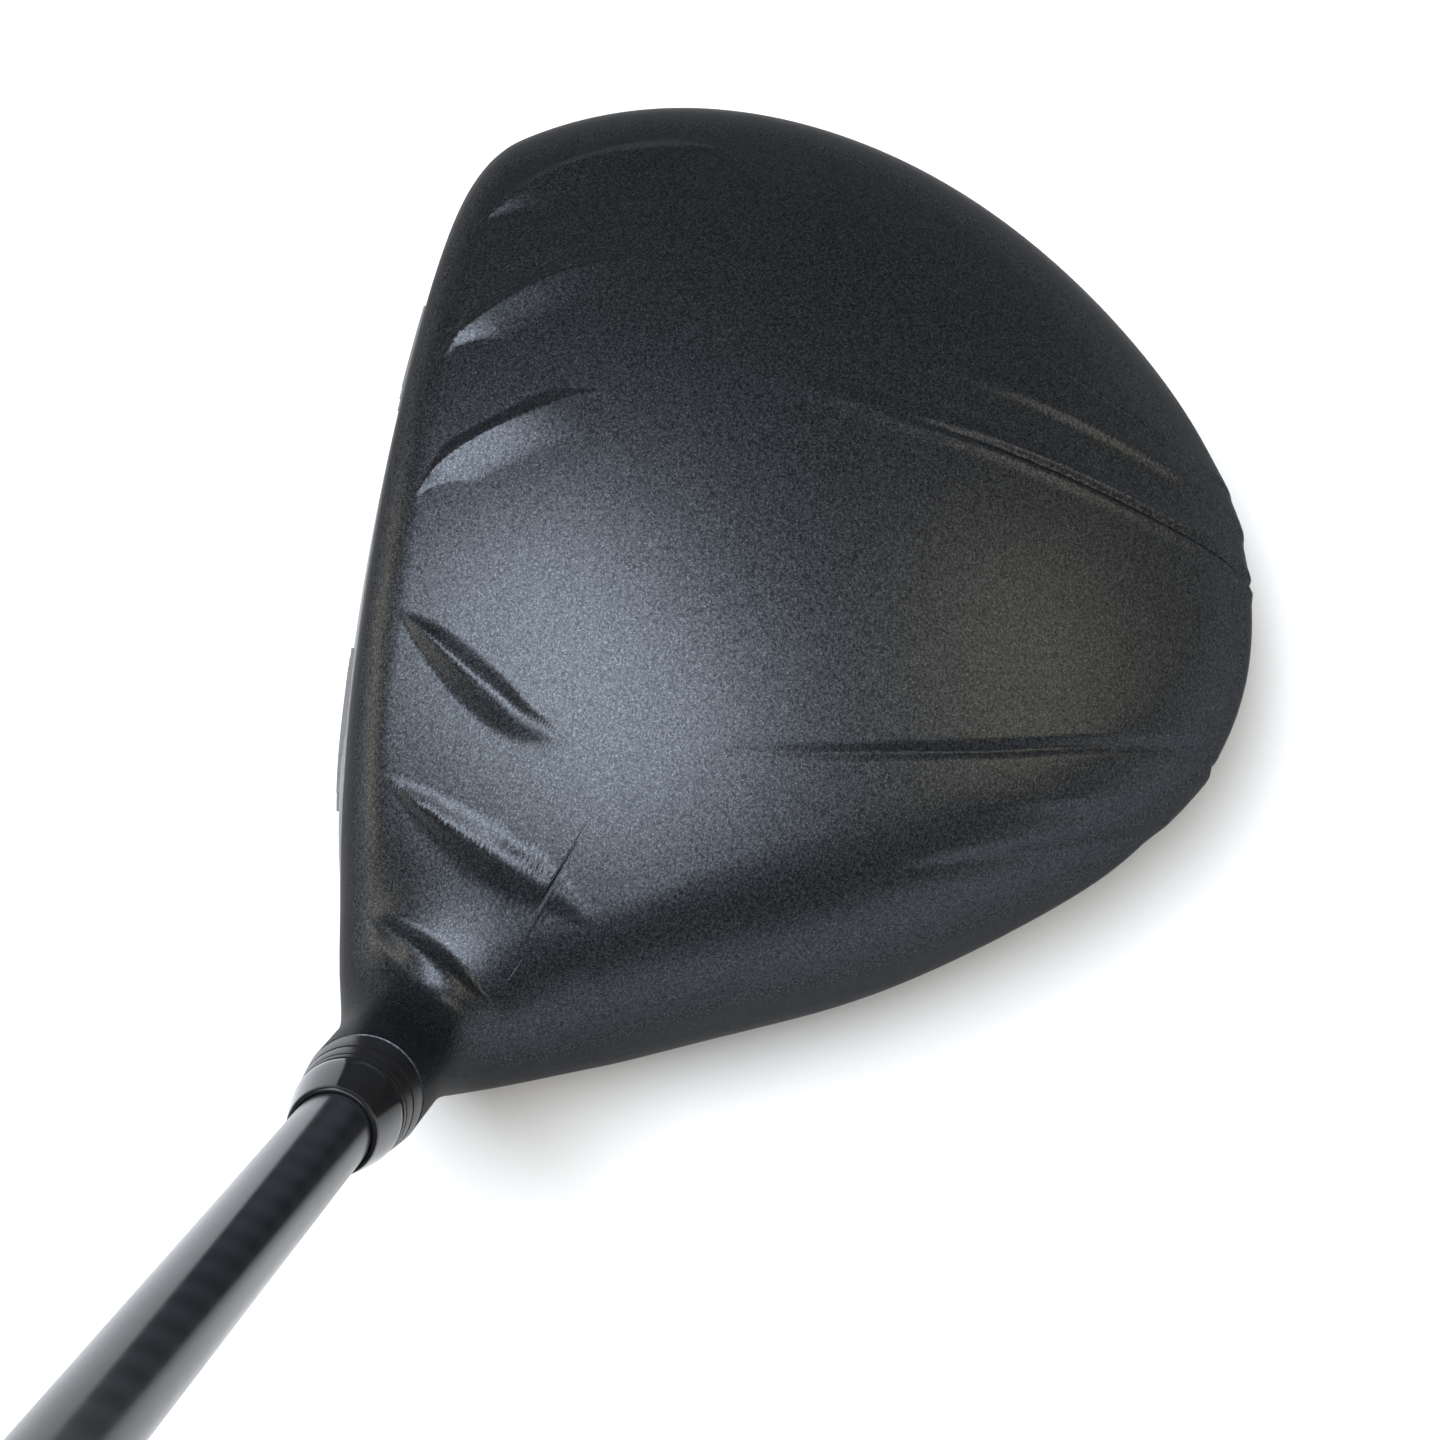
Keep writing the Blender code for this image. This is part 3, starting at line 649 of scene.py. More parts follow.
class Value:
    """A number socket that takes part in Python arithmetic by adding Math nodes."""

    def __init__(self, tree, socket):
        self.tree = tree
        self.socket = socket

    def maths(self, operation, *others, first=None):
        inputs = [first if first is not None else self, *others]
        return self.tree.node("Math", {"operation": operation}, dict(enumerate(inputs)))

    def __add__(self, other):
        return self.maths("ADD", other)

    def __mul__(self, other):
        return self.maths("MULTIPLY", other)

    def __sub__(self, other):
        return self.maths("SUBTRACT", other)

    def __truediv__(self, other):
        return self.maths("DIVIDE", other)

    def __rsub__(self, other):
        return self.maths("SUBTRACT", self, first=other)

    def __pow__(self, other):
        return self.maths("POWER", other)

    __radd__ = __add__
    __rmul__ = __mul__


class Tree:
    """Adds nodes to a shader or geometry tree."""

    def __init__(self, tree, prefix):
        self.tree = tree
        self.prefix = prefix

    def node(self, kind, settings=None, values=None, out=0):
        """A node of a type, its settings set first, then its sockets' values or links."""
        made = self.tree.nodes.new(kind if kind[:4] in ("Geom", "Func", "Shad") else self.prefix + kind)
        for key, value in (settings or {}).items():
            setattr(made, key, value)
        for key, value in (values or {}).items():
            self.set_socket(made.inputs[key], value)
        return Value(self, made.outputs[out])

    def set_socket(self, socket, value):
        if isinstance(value, Value):
            self.tree.links.new(value.socket, socket)
        elif isinstance(value, (tuple, list)) and socket.type == "RGBA" and len(value) == 3:
            socket.default_value = (*value, 1.0)
        else:
            socket.default_value = value

    def other(self, value, name):
        """Another output of the node that a value comes from."""
        return Value(self, value.socket.node.outputs[name])


class Surface(Tree):
    """A material made around one Principled shader."""

    def __init__(self, name, **constants):
        self.material = bpy.data.materials.new(name)
        self.material.use_nodes = True
        super().__init__(self.material.node_tree, "ShaderNode")
        self.shader = self.material.node_tree.nodes["Principled BSDF"]
        self.feed(**constants)

    def feed(self, **values):
        """Sets or links the shader's sockets, named with underscores for spaces."""
        for key, value in values.items():
            self.set_socket(self.shader.inputs[key.replace("_", " ")], value)

    def place(self):
        """Object coordinates."""
        return self.node("TexCoord", out=3)

    def distance_along_shaft(self):
        values = {0: self.place(), 1: tuple(SHAFT_DIRECTION)}
        return self.node("VectorMath", {"operation": "DOT_PRODUCT"}, values, out=1)

    def along_shaft(self):
        """Object coordinates with everything but the distance along the shaft squeezed out."""
        return self.node("CombineXYZ", None, {2: self.distance_along_shaft()})

    def noise(self, scale, detail=2.0, rough=0.5, vector=None):
        values = {"Vector": vector or self.place(), "Scale": scale, "Detail": detail, "Roughness": rough}
        return self.node("TexNoise", None, values)

    def mix(self, factor, a, b):
        return self.node("Mix", {"data_type": "RGBA"}, {0: factor, 6: a, 7: b}, out=2)

    def bump(self, height, strength, distance):
        values = {"Height": height, "Strength": strength, "Distance": distance}
        return self.node("Bump", None, values)

    def span(self, value, low, high, to_low=0.0, to_high=1.0):
        """A value's range from low to high stretched to another range, and clamped to it."""
        values = {0: value, 1: low, 2: high, 3: to_low, 4: to_high}
        return self.node("MapRange", None, values)


EDGE_DARKENING = (0.22, 0.21, 0.20, 1.0)
BALL_MARK = (-0.005, -0.025, 0.032)


def satin_flake(s):
    """Colour and roughness of the graphite-grey metallic paint, and its flake."""
    flake = s.noise(2600.0, 3.0, 0.7)
    speck = s.span(s.noise(5200.0, 1.0), 0.55, 0.75)
    drift = s.noise(22.0, 2.0)
    dark = s.mix(s.span(drift, 0.3, 0.7), (0.017, 0.019, 0.023), (0.020, 0.022, 0.024))
    tinted = s.mix(s.span(flake, 0.35, 0.7), dark, (0.060, 0.065, 0.073))
    colour = s.mix(speck * 0.35, tinted, (0.18, 0.19, 0.205))
    rough = s.span(flake, 0.3, 0.7, 0.355, 0.455) + (drift - 0.5) * 0.05
    return colour, rough, flake


def crown_paint():
    """Satin graphite-grey metallic paint with fine flake and a faint orange peel."""
    s = Surface("crown_paint", Metallic=0.82, Roughness=0.42, Specular_Tint=EDGE_DARKENING)
    colour, rough, flake = satin_flake(s)
    peel = s.noise(900.0, 2.0) * 0.6 + flake * 0.4
    s.feed(Base_Color=colour, Roughness=rough, Normal=s.bump(peel, 0.10, 0.0002))
    return s.material


def sole_paint():
    """The same satin paint on the skirt, changing to a slightly scuffed gloss black under the head."""
    s = Surface("body_paint", Metallic=0.82, Roughness=0.42, Specular_Tint=EDGE_DARKENING)
    satin, satin_rough, flake = satin_flake(s)
    height = s.other(s.node("SeparateXYZ", None, {0: s.place()}), "Z")
    underneath = s.span(height, 0.0105, 0.0098)
    stretched = s.node("Mapping", None, {0: s.place(), 3: (260.0, 22.0, 260.0)})
    scuffs = s.span(s.noise(6.0, 4.0, 0.6, stretched), 0.56, 0.68) * s.span(height, 0.006, 0.001)
    gloss = s.mix(scuffs * 0.35, (0.012, 0.012, 0.013), (0.11, 0.11, 0.11))
    colour = s.mix(underneath, satin, gloss)
    gloss_rough = s.span(flake, 0.3, 0.7, 0.12, 0.17) + scuffs * 0.25
    rough = satin_rough + (gloss_rough - satin_rough) * underneath
    s.feed(Base_Color=colour, Roughness=rough, Metallic=0.82 - underneath * 0.8)
    s.feed(Normal=s.bump(flake + scuffs * 0.5, 0.10, 0.0002))
    return s.material


def face_metal():
    """Dark grey face metal, milled in fine vertical strokes, with a touch of ball wear at its middle."""
    s = Surface("face_metal", Metallic=0.9, Roughness=0.42)
    strokes = s.noise(30.0, 3.0, 0.6, s.node("Mapping", None, {0: s.place(), 3: (90.0, 4.0, 4.0)}))
    grit = s.noise(2200.0, 2.0)
    offset = s.node("VectorMath", {"operation": "DISTANCE"}, {0: s.place(), 1: BALL_MARK}, out=1)
    wear = s.span(offset, 0.024, 0.004) * s.span(s.noise(700.0, 3.0), 0.45, 0.6)
    base = s.mix(strokes, (0.075, 0.076, 0.080), (0.14, 0.14, 0.145))
    colour = s.mix(wear * 0.3, base, (0.26, 0.26, 0.26))
    rough = s.span(strokes, 0.3, 0.7, 0.34, 0.48) + grit * 0.06
    s.feed(Base_Color=colour, Roughness=rough, Normal=s.bump(strokes * 0.7 + grit * 0.3, 0.25, 0.0002))
    return s.material


def groove_fill():
    """Grey paint in the score lines."""
    s = Surface("groove_fill", Metallic=0.0, Roughness=0.6)
    grain = s.noise(3000.0, 2.0)
    colour = s.mix(grain, (0.10, 0.10, 0.10), (0.16, 0.16, 0.155))
    s.feed(Base_Color=colour, Roughness=s.span(grain, 0.3, 0.7, 0.5, 0.7))
    return s.material


def anodised_black():
    """Black anodised aluminium of the adapter, with faint turning lines."""
    s = Surface("adapter_black", Metallic=0.1, IOR=1.27, Roughness=0.26, Specular_Tint=EDGE_DARKENING)
    lines = s.noise(7000.0, 1.0, 0.5, s.along_shaft())
    smudge = s.noise(60.0, 3.0)
    colour = s.mix(lines, (0.006, 0.006, 0.007), (0.015, 0.015, 0.017))
    rough = s.span(smudge, 0.3, 0.7, 0.22, 0.32) + lines * 0.06
    s.feed(Base_Color=colour, Roughness=rough, Normal=s.bump(lines, 0.12, 0.0001))
    return s.material


def gloss_black():
    """Polished black plastic of the ferrule."""
    s = Surface("ferrule_black", Metallic=0.0, Roughness=0.16, IOR=1.27)
    smudge = s.noise(90.0, 3.0, 0.6)
    fine = s.noise(3500.0, 2.0)
    colour = s.mix(smudge, (0.008, 0.008, 0.009), (0.014, 0.014, 0.015))
    rough = s.span(smudge, 0.3, 0.7, 0.08, 0.20) + fine * 0.03
    s.feed(Base_Color=colour, Roughness=rough, Normal=s.bump(fine, 0.03, 0.0001))
    return s.material


def shaft_graphite():
    """Clear-coated carbon shaft: near-black with a trace of the wound fibre under the lacquer."""
    s = Surface("shaft_black", Metallic=0.0, Roughness=0.22, IOR=1.26)
    along = s.distance_along_shaft()
    side = s.node("SeparateXYZ", None, {0: s.place()}, out=1)
    wound = ((along * 900.0 + side * 700.0).maths("SINE") * 0.5 + 0.5) * 0.4
    fibre = s.noise(2400.0, 3.0, 0.6) * 0.6 + wound
    drift = s.noise(14.0, 2.0)
    colour = s.mix(fibre, (0.006, 0.007, 0.009), (0.020, 0.022, 0.028))
    rough = s.span(drift, 0.3, 0.7, 0.16, 0.26) + fibre * 0.03
    s.feed(Base_Color=colour, Roughness=rough, Normal=s.bump(s.noise(1500.0, 2.0), 0.03, 0.0001))
    return s.material


def steel(name, dark, light, rough):
    """Turned metal between two shades, with smudges."""
    s = Surface(name, Metallic=1.0, Roughness=rough)
    turning = s.noise(3200.0, 2.0)
    smudge = s.noise(160.0, 3.0)
    colour = s.mix(turning, dark, light)
    roughness = s.span(smudge, 0.3, 0.7, rough - 0.06, rough + 0.08)
    s.feed(Base_Color=colour, Roughness=roughness, Normal=s.bump(turning, 0.08, 0.0001))
    return s.material


def soft_matte(name, dark, light, rough, scale, bump=0.4):
    """Grainy rubber, cork, nylon or paper between two shades."""
    s = Surface(name, Metallic=0.0, Roughness=rough)
    grain = s.noise(scale, 4.0, 0.6)
    broad = s.noise(scale / 20, 2.0)
    colour = s.mix(grain * 0.7 + broad * 0.3, dark, light)
    roughness = s.span(grain, 0.3, 0.7, rough - 0.06, rough + 0.06)
    s.feed(Base_Color=colour, Roughness=roughness, Normal=s.bump(grain, bump, 0.0003))
    return s.material


def floor_paper():
    """White backdrop paper."""
    s = Surface("floor_paper", Roughness=0.85, Metallic=0.0)
    fibres = s.noise(60.0, 3.0)
    colour = s.mix(fibres, (0.86, 0.86, 0.86), (0.88, 0.88, 0.88))
    s.feed(Base_Color=colour)
    return s.material


# ------------------------------
# Head pieces
# ------------------------------


def spread(density, count):
    """Angles all round, closer together where the density is high."""
    fine = np.linspace(0, 2 * math.pi, 4001)
    total = np.concatenate([[0], np.cumsum(density((fine[1:] + fine[:-1]) / 2))])
    return np.interp(np.arange(count) / count * total[-1], total, fine)


def column_density(azimuth):
    degrees = np.degrees(azimuth)
    front = np.exp(-(((degrees - 270) / 62) ** 4))
    tail = np.exp(-(((degrees - 92) / 38) ** 4))
    return 0.55 + 1.0 * front + 0.75 * tail


AZIMUTHS = spread(column_density, COLUMNS)


def ray_directions(azimuth, climb):
    return np.stack(
        [np.cos(climb) * np.cos(azimuth), np.cos(climb) * np.sin(azimuth), np.sin(climb)], axis=-1
    )


def crown_joint_height(y):
    knots = np.array(CROWN_JOINT)
    return np.interp(y, knots[:, 0], knots[:, 1])


def stub_distance(points):
    """The painted skin with its hosel cut short, so that each ray from inside the head leaves it once."""
    along, _ = shaft_coordinates(points)
    return np.maximum(outer_distance(points), along - STUB_TOP)


def skin_point(azimuth, climb):
    directions = ray_directions(azimuth, climb)
    lengths = cast_rays(stub_distance, HEAD_INSIDE, directions, reach=115.0)
    return HEAD_INSIDE + directions * lengths[..., None]


def joint_climbs():
    """For each azimuth: the climb of the joint between the crown and the body."""
    climbs = np.radians(np.linspace(85, -35, 241))
    azimuth, climb = np.meshgrid(AZIMUTHS, climbs, indexing="ij")
    points = skin_point(azimuth, climb)
    below = points[..., 2] <= crown_joint_height(points[..., 1])
    first = np.argmax(below, axis=1)

    def above(climb):
        points = skin_point(AZIMUTHS, climb)
        return points[:, 2] > crown_joint_height(points[:, 1])

    return halve(above, climbs[first - 1], climbs[first])


def even_rings(start, end, shares):
    """Climbs between two bounds on each column, evenly spaced on the skin by the given shares."""
    coarse = np.linspace(0, 1, 48)
    climb = start[:, None] + (end - start)[:, None] * coarse
    points = skin_point(np.repeat(AZIMUTHS[:, None], 48, axis=1), climb)
    steps = np.linalg.norm(np.diff(points, axis=1), axis=2)
    lengths = np.concatenate([np.zeros((len(start), 1)), np.cumsum(steps, axis=1)], axis=1)
    rings = np.empty((len(start), len(shares)))
    for k in range(len(start)):
        rings[k] = np.interp(shares * lengths[k, -1], lengths[k], climb[k])
    return rings


def shell_of(outer, pole, normals, pole_normal, pole_first):
    """Vertices and faces of a closed cap: outer rings from the pole to the rim, then a coarse inner skin."""
    columns, rows = outer.shape[:2]
    skin = outer.transpose(1, 0, 2).reshape(-1, 3)
    keep = np.unique(np.linspace(0, rows - 1, INNER_ROWS).astype(int))
    inside = outer - normals * PAINTED_THICKNESS
    inner = inside[:, keep].transpose(1, 0, 2).reshape(-1, 3)
    vertices = np.vstack([pole[None], skin, inner, (pole - pole_normal * PAINTED_THICKNESS)[None]])
    faces = []
    for k in range(columns):
        faces.append((0, 1 + k, 1 + (k + 1) % columns))
    faces += grid_faces(rows, columns, 1, flip=True)
    first_inner = 1 + rows * columns
    faces += grid_faces(len(keep), columns, first_inner)
    last = len(vertices) - 1
    for k in range(columns):
        faces.append((last, first_inner + (k + 1) % columns, first_inner + k))
    rim, inner_rim = 1 + (rows - 1) * columns, first_inner + (len(keep) - 1) * columns
    for k in range(columns):
        after = (k + 1) % columns
        faces.append((rim + k, inner_rim + k, inner_rim + after, rim + after))
    if not pole_first:
        faces = [tuple(reversed(face)) for face in faces]
    return vertices, faces


def neck_opening():
    """The space round the shaft's axis that the crown and the body leave to the neck."""
    return rod("neck_opening", NECK_ZONE_RADIUS, NECK_ZONE_START, HOSEL_TOP + 20, to_club, 240)


def painted_shell(name, start, end, shares, pole_climb, material, smooth_angle):
    """A closed shell of painted skin with its ribs and creases: columns between two climbs, closed at a pole."""
    azimuth = np.repeat(AZIMUTHS[:, None], len(shares), axis=1)
    base = skin_point(azimuth, even_rings(start, end, shares))
    pole = skin_point(np.array([0.0]), np.array([pole_climb]))[0]
    flat = base.reshape(-1, 3)
    normals = outer_normal(flat)
    raised = displaced(flat, normals)[0].reshape(base.shape)
    normals = normals.reshape(base.shape)
    pole_first = pole_climb > 0
    order = slice(None) if pole_first else slice(None, None, -1)
    pole_normal = outer_normal(pole[None])[0]
    vertices, faces = shell_of(raised[:, order], pole, normals[:, order], pole_normal, pole_first)
    mesh = outward(mesh_of(name, vertices, faces, None), smooth_angle)
    return new_object(name, mesh, material)


def make_crown(rim, material):
    """The crown's dome, from its top down to the joint with the body."""
    top = np.full(COLUMNS, math.pi / 2)
    shares = np.linspace(0.012, 1, CROWN_ROWS)
    made = painted_shell("painted_crown", top, rim, shares, math.pi / 2, material, 50.0)
    cut(made, neck_opening())
    settled(made, 50.0)
    set_skin_normals(made, raised_normal_at, 0.5)
    return made


def skin_normal_at(points):
    """Normals of the plain skin, and which points lie on it."""
    return outer_normal(points), np.abs(outer_distance(points)) < 0.02


def raised_normal_at(points):
    """Normals of the painted skin with its ribs and creases, and which points lie on it."""
    return displaced(points, outer_normal(points))[1], outer_distance(points) > -0.7


def plate_outline(growth, points=160):
    """The face plate's outline, a rounded oblong, made larger by growth."""
    angles = np.arange(points) * 2 * math.pi / points
    cosine, sine = np.cos(angles), np.sin(angles)
    power = 2 / PLATE_POWER
    x = np.sign(cosine) * np.abs(cosine) ** power * (PLATE_HALF_SIZE[0] + growth)
    z = np.sign(sine) * np.abs(sine) ** power * (PLATE_HALF_SIZE[1] + growth)
    return PLATE_CENTRE[0] + x, PLATE_CENTRE[1] + z


def bar_through_face(name, growth):
    x, z = plate_outline(growth)
    count = len(x)
    vertices = [(a, y, b) for y in (-60.0, FACE_BEHIND_Y) for a, b in zip(x, z)]
    faces = [tuple(range(count)), tuple(reversed(range(count, 2 * count)))]
    faces += [(k, (k + 1) % count, count + (k + 1) % count, count + k) for k in range(count)]
    return new_object(name, outward(mesh_of(name, vertices, faces, None)))


def rod(name, radius, start, end, place, segments=96):
    profile = [(0, start), (radius, start), (radius, end), (0, end)]
    return new_object(name, turned_mesh(name, profile, place, segments))


def make_body(rim, material):
    """The skirt and sole, from the joint with the crown down to the middle of the sole."""
    bottom = np.full(COLUMNS, -math.pi / 2)
    shares = np.linspace(0, 0.985, BODY_ROWS)
    made = painted_shell("painted_body", rim, bottom, shares, -math.pi / 2, material, 35.0)
    cut(made, neck_opening())
    cut(made, bar_through_face("face_opening", FACE_GAP))
    cut(made, rod("tube_opening", HOSEL_TUBE_RADIUS + TUBE_GAP, -20, NECK_ZONE_START, to_club))
    cut(made, rod("port_opening", PORT_RADIUS, -12, 14, to_port))
    settled(made)
    set_skin_normals(made, raised_normal_at)
    return made


def neck_columns(segments):
    """Directions about the shaft, what finds the neck's radius, and where its skin ends in each direction."""
    angles = np.arange(segments) * 2 * math.pi / segments
    across = np.cos(angles)[:, None] * SHAFT_AHEAD + np.sin(angles)[:, None] * SHAFT_SIDEWAYS

    def radius_at(along):
        origins = HEEL_POINT + along[..., None] * SHAFT_DIRECTION
        return cast_rays(outer_distance, origins, across if along.ndim == 1 else across[:, None], 17.0, 60)

    places = np.linspace(NECK_ZONE_START, HOSEL_TOP, 65)
    table = radius_at(np.repeat(places[None], segments, axis=0))
    wide = table >= NECK_ZONE_RADIUS
    last_wide = np.where(wide.any(axis=1), wide.shape[1] - 1 - np.argmax(wide[:, ::-1], axis=1), 0)
    near = places[np.minimum(last_wide + 1, len(places) - 1)]
    far = places[last_wide]
    ends = halve(lambda s: radius_at(s) < NECK_ZONE_RADIUS, near, far)
    ends = np.where(wide.any(axis=1), ends, NECK_ZONE_START)
    return across, radius_at, ends


def sole_meets(radius, across, start=-8.0, end=20.0):
    """Where lines along the shaft at a radius leave the sole."""
    origins = HEEL_POINT + across * radius + SHAFT_DIRECTION * end
    lengths = cast_rays(outer_distance, origins, -SHAFT_DIRECTION, end - start)
    return end - lengths


def make_neck(material, segments=240, rows=84):
    """The flared neck with its tube: turned about the shaft's axis, its skin following the head's."""
    across, radius_at, ends = neck_columns(segments)
    rings = []

    def ring(radii, heights):
        heights = np.broadcast_to(heights, (segments,)).astype(float)
        radii = np.broadcast_to(radii, (segments,)).astype(float)
        rings.append(HEEL_POINT + across * radii[:, None] + SHAFT_DIRECTION * heights[:, None])

    coarse = np.linspace(0, 1, 40)
    table_heights = HOSEL_TOP + (ends - HOSEL_TOP)[:, None] * coarse
    table = radius_at(table_heights)
    lengths = np.cumsum(np.hypot(np.diff(table, axis=1), np.diff(table_heights, axis=1)), axis=1)
    lengths = np.concatenate([np.zeros((segments, 1)), lengths], axis=1)
    shares = np.linspace(0, 1, rows)
    heights = np.stack(
        [np.interp(shares * lengths[k, -1], lengths[k], table_heights[k]) for k in range(segments)]
    )
    heights[:, 0] = HOSEL_TOP - 0.25
    radii = radius_at(heights)
    ring(HOSEL_BORE_RADIUS + 0.15, HOSEL_TOP)
    ring(radii[:, 0] - 0.25, HOSEL_TOP)
    ring(radii[:, 0] - 0.07, HOSEL_TOP - 0.07)
    for k in range(rows):
        ring(radii[:, k], heights[:, k])
        rings[-1] = displaced(rings[-1], outer_normal(rings[-1]))[0]
    edge_normals = outer_normal(rings[-1])
    along_skin = across - (across * edge_normals).sum(1, keepdims=True) * edge_normals
    along_skin /= (along_skin * across).sum(1, keepdims=True)
    short = NECK_ZONE_RADIUS - shaft_coordinates(rings[-1])[1]
    short = np.where(radii[:, -1] > NECK_ZONE_RADIUS - 0.3, short, 0.0)
    rings[-1] = rings[-1] + along_skin * short[:, None]
    rim_radius = np.minimum(radii[:, -1], NECK_ZONE_RADIUS)
    floor_heights = np.minimum(ends - 1.4, NECK_ZONE_START - 0.6)
    ring(rim_radius - 0.5, np.minimum(ends, NECK_ZONE_START + 8) - 1.4)
    ring(HOSEL_TUBE_RADIUS, floor_heights - 1.0)
    low = sole_meets(HOSEL_TUBE_RADIUS, across)
    for share in np.linspace(0, 1, 6):
        ring(HOSEL_TUBE_RADIUS, (floor_heights - 2.0) * (1 - share) + (low + 0.02) * share)
    ring(BOLT_PORT_RADIUS + 0.25, sole_meets(BOLT_PORT_RADIUS + 0.25, across))
    ring(BOLT_PORT_RADIUS, sole_meets(BOLT_PORT_RADIUS, across) + 0.3)
    ring(BOLT_PORT_RADIUS, BOLT_SEAT[0])
    ring(BOLT_SEAT_HOLE, BOLT_SEAT[0])
    ring(BOLT_SEAT_HOLE, BOLT_SEAT[1])
    ring(HOSEL_BORE_RADIUS, BOLT_SEAT[1])
    ring(HOSEL_BORE_RADIUS, HOSEL_TOP - 0.2)
    vertices = np.concatenate(rings)
    count = len(rings)
    faces = grid_faces(count, segments)
    last = (count - 1) * segments
    faces += [(last + k, last + (k + 1) % segments, (k + 1) % segments, k) for k in range(segments)]
    mesh = outward(mesh_of("painted_neck", vertices, faces, None))
    made = new_object("painted_neck", mesh, material)

    def neck_normal(points):
        along, radius = shaft_coordinates(points)
        on_skin = (along < HOSEL_TOP - 0.2) & (radius > HOSEL_TUBE_RADIUS + 0.1)
        return displaced(points, outer_normal(points))[1], on_skin & (outer_distance(points) > -0.02)

    set_skin_normals(made, neck_normal, 0.6)
    return made


def on_face(x, z):
    """The points of the head's skin straight ahead of places behind the face."""
    origins = np.stack([x, np.full_like(x, FACE_BEHIND_Y), z], axis=-1)
    direction = np.array([0.0, -1.0, 0.0])
    length = cast_rays(outer_distance, origins, direction, 40.0)
    return origins + direction * length[..., None]


def make_face(material):
    """The face plate: rings of its outline on the bulged and rolled face, closed behind."""
    outline_x, outline_z = plate_outline(-FACE_GAP, 200)
    count = len(outline_x)
    shares = np.linspace(0.03, 1, 40)
    x = PLATE_CENTRE[0] + (outline_x - PLATE_CENTRE[0])[None] * shares[:, None]
    z = PLATE_CENTRE[1] + (outline_z - PLATE_CENTRE[1])[None] * shares[:, None]
    skin = on_face(x, z)
    middle = on_face(np.array([PLATE_CENTRE[0]]), np.array([PLATE_CENTRE[1]]))
    normals = outer_normal(skin.reshape(-1, 3)).reshape(skin.shape)
    lip = skin[-1:] - normals[-1:] * 0.12
    skin[-1] = skin[-1] + (skin[-2] - skin[-1]) * 0.1
    back = (skin - normals * FACE_THICKNESS)[[39, 20, 0]]
    back_middle = middle - outer_normal(middle) * FACE_THICKNESS
    rings = np.concatenate([skin, lip, back])
    vertices = np.vstack([middle, rings.reshape(-1, 3), back_middle])
    faces = [(0, 1 + (k + 1) % count, 1 + k) for k in range(count)]
    faces += grid_faces(len(rings), count, 1)
    last = 1 + (len(rings) - 1) * count
    faces += [(len(vertices) - 1, last + k, last + (k + 1) % count) for k in range(count)]
    made = new_object("strike_face", outward(mesh_of("strike_face", vertices, faces, None)), material)
    set_skin_normals(made, skin_normal_at)
    return made


# ------------------------------
# Geometry node helpers
# ------------------------------


class Pattern(Tree):
    """A geometry tree with named inputs that makes one repeated feature."""

    def __init__(self, name):
        group = bpy.data.node_groups.new(name, "GeometryNodeTree")
        super().__init__(group, "ShaderNode")
        self.group = group
        group.interface.new_socket("Geometry", in_out="OUTPUT", socket_type="NodeSocketGeometry")
        self.entry = group.nodes.new("NodeGroupInput")
        self.exit = group.nodes.new("NodeGroupOutput")
        self.inputs = {}

    def size(self, name, value, kind="Float"):
        item = self.group.interface.new_socket(name, in_out="INPUT", socket_type="NodeSocket" + kind)
        self.inputs[item.identifier] = value
        return Value(self, self.entry.outputs[name])

    def geo(self, kind, settings=None, values=None, out=0):
        return self.node("GeometryNode" + kind, settings, values, out)

    def vector(self, x=0.0, y=0.0, z=0.0):
        return self.node("ShaderNodeCombineXYZ", None, {0: x, 1: y, 2: z})

    def build(self, name, geometry, material, place, smooth_angle=35.0):
        """Runs the tree on an empty mesh and returns its result as a plain object."""
        whole = self.geo("RealizeInstances", None, {0: geometry})
        painted = self.geo("SetMaterial", None, {0: whole, 2: material})
        self.tree.links.new(painted.socket, self.exit.inputs[0])
        made = new_object(name, bpy.data.meshes.new(name))
        modifier = made.modifiers.new("pattern", "NODES")
        modifier.node_group = self.group
        for identifier, value in self.inputs.items():
            modifier[identifier] = value
        settled(made, None)
        mesh = made.data
        mesh.name = name
        count = len(mesh.vertices)
        local = np.empty(count * 3, np.float32)
        mesh.vertices.foreach_get("co", local)
        moved = place(local.reshape(-1, 3).astype(float) / MM) * MM
        mesh.vertices.foreach_set("co", moved.astype(np.float32).ravel())
        outward(mesh, smooth_angle)
        return made


def thread(name, radius, start, end, place, material):
    """A helical thread ridge on a screw, swept along a spiral."""
    p = Pattern(name)
    crest = p.size("Crest radius", radius * MM)
    low = p.size("Start", start * MM)
    length = p.size("Length", (end - start) * MM)
    pitch = p.size("Pitch", THREAD_PITCH * MM)
    turns = length / pitch
    shape = {"Resolution": 28, "Rotations": turns, "Height": length}
    shape |= {"Start Radius": crest, "End Radius": crest}
    spiral = p.geo("CurveSpiral", None, shape)
    moved = p.geo("Transform", None, {0: spiral, "Translation": p.vector(z=low)})
    ridge = p.geo("CurvePrimitiveCircle", None, {"Resolution": 4, "Radius": 0.26 * MM})
    swept = p.geo("CurveToMesh", None, {0: moved, 1: ridge, "Fill Caps": True})
    return p.build(name, swept, material, place, 60.0)


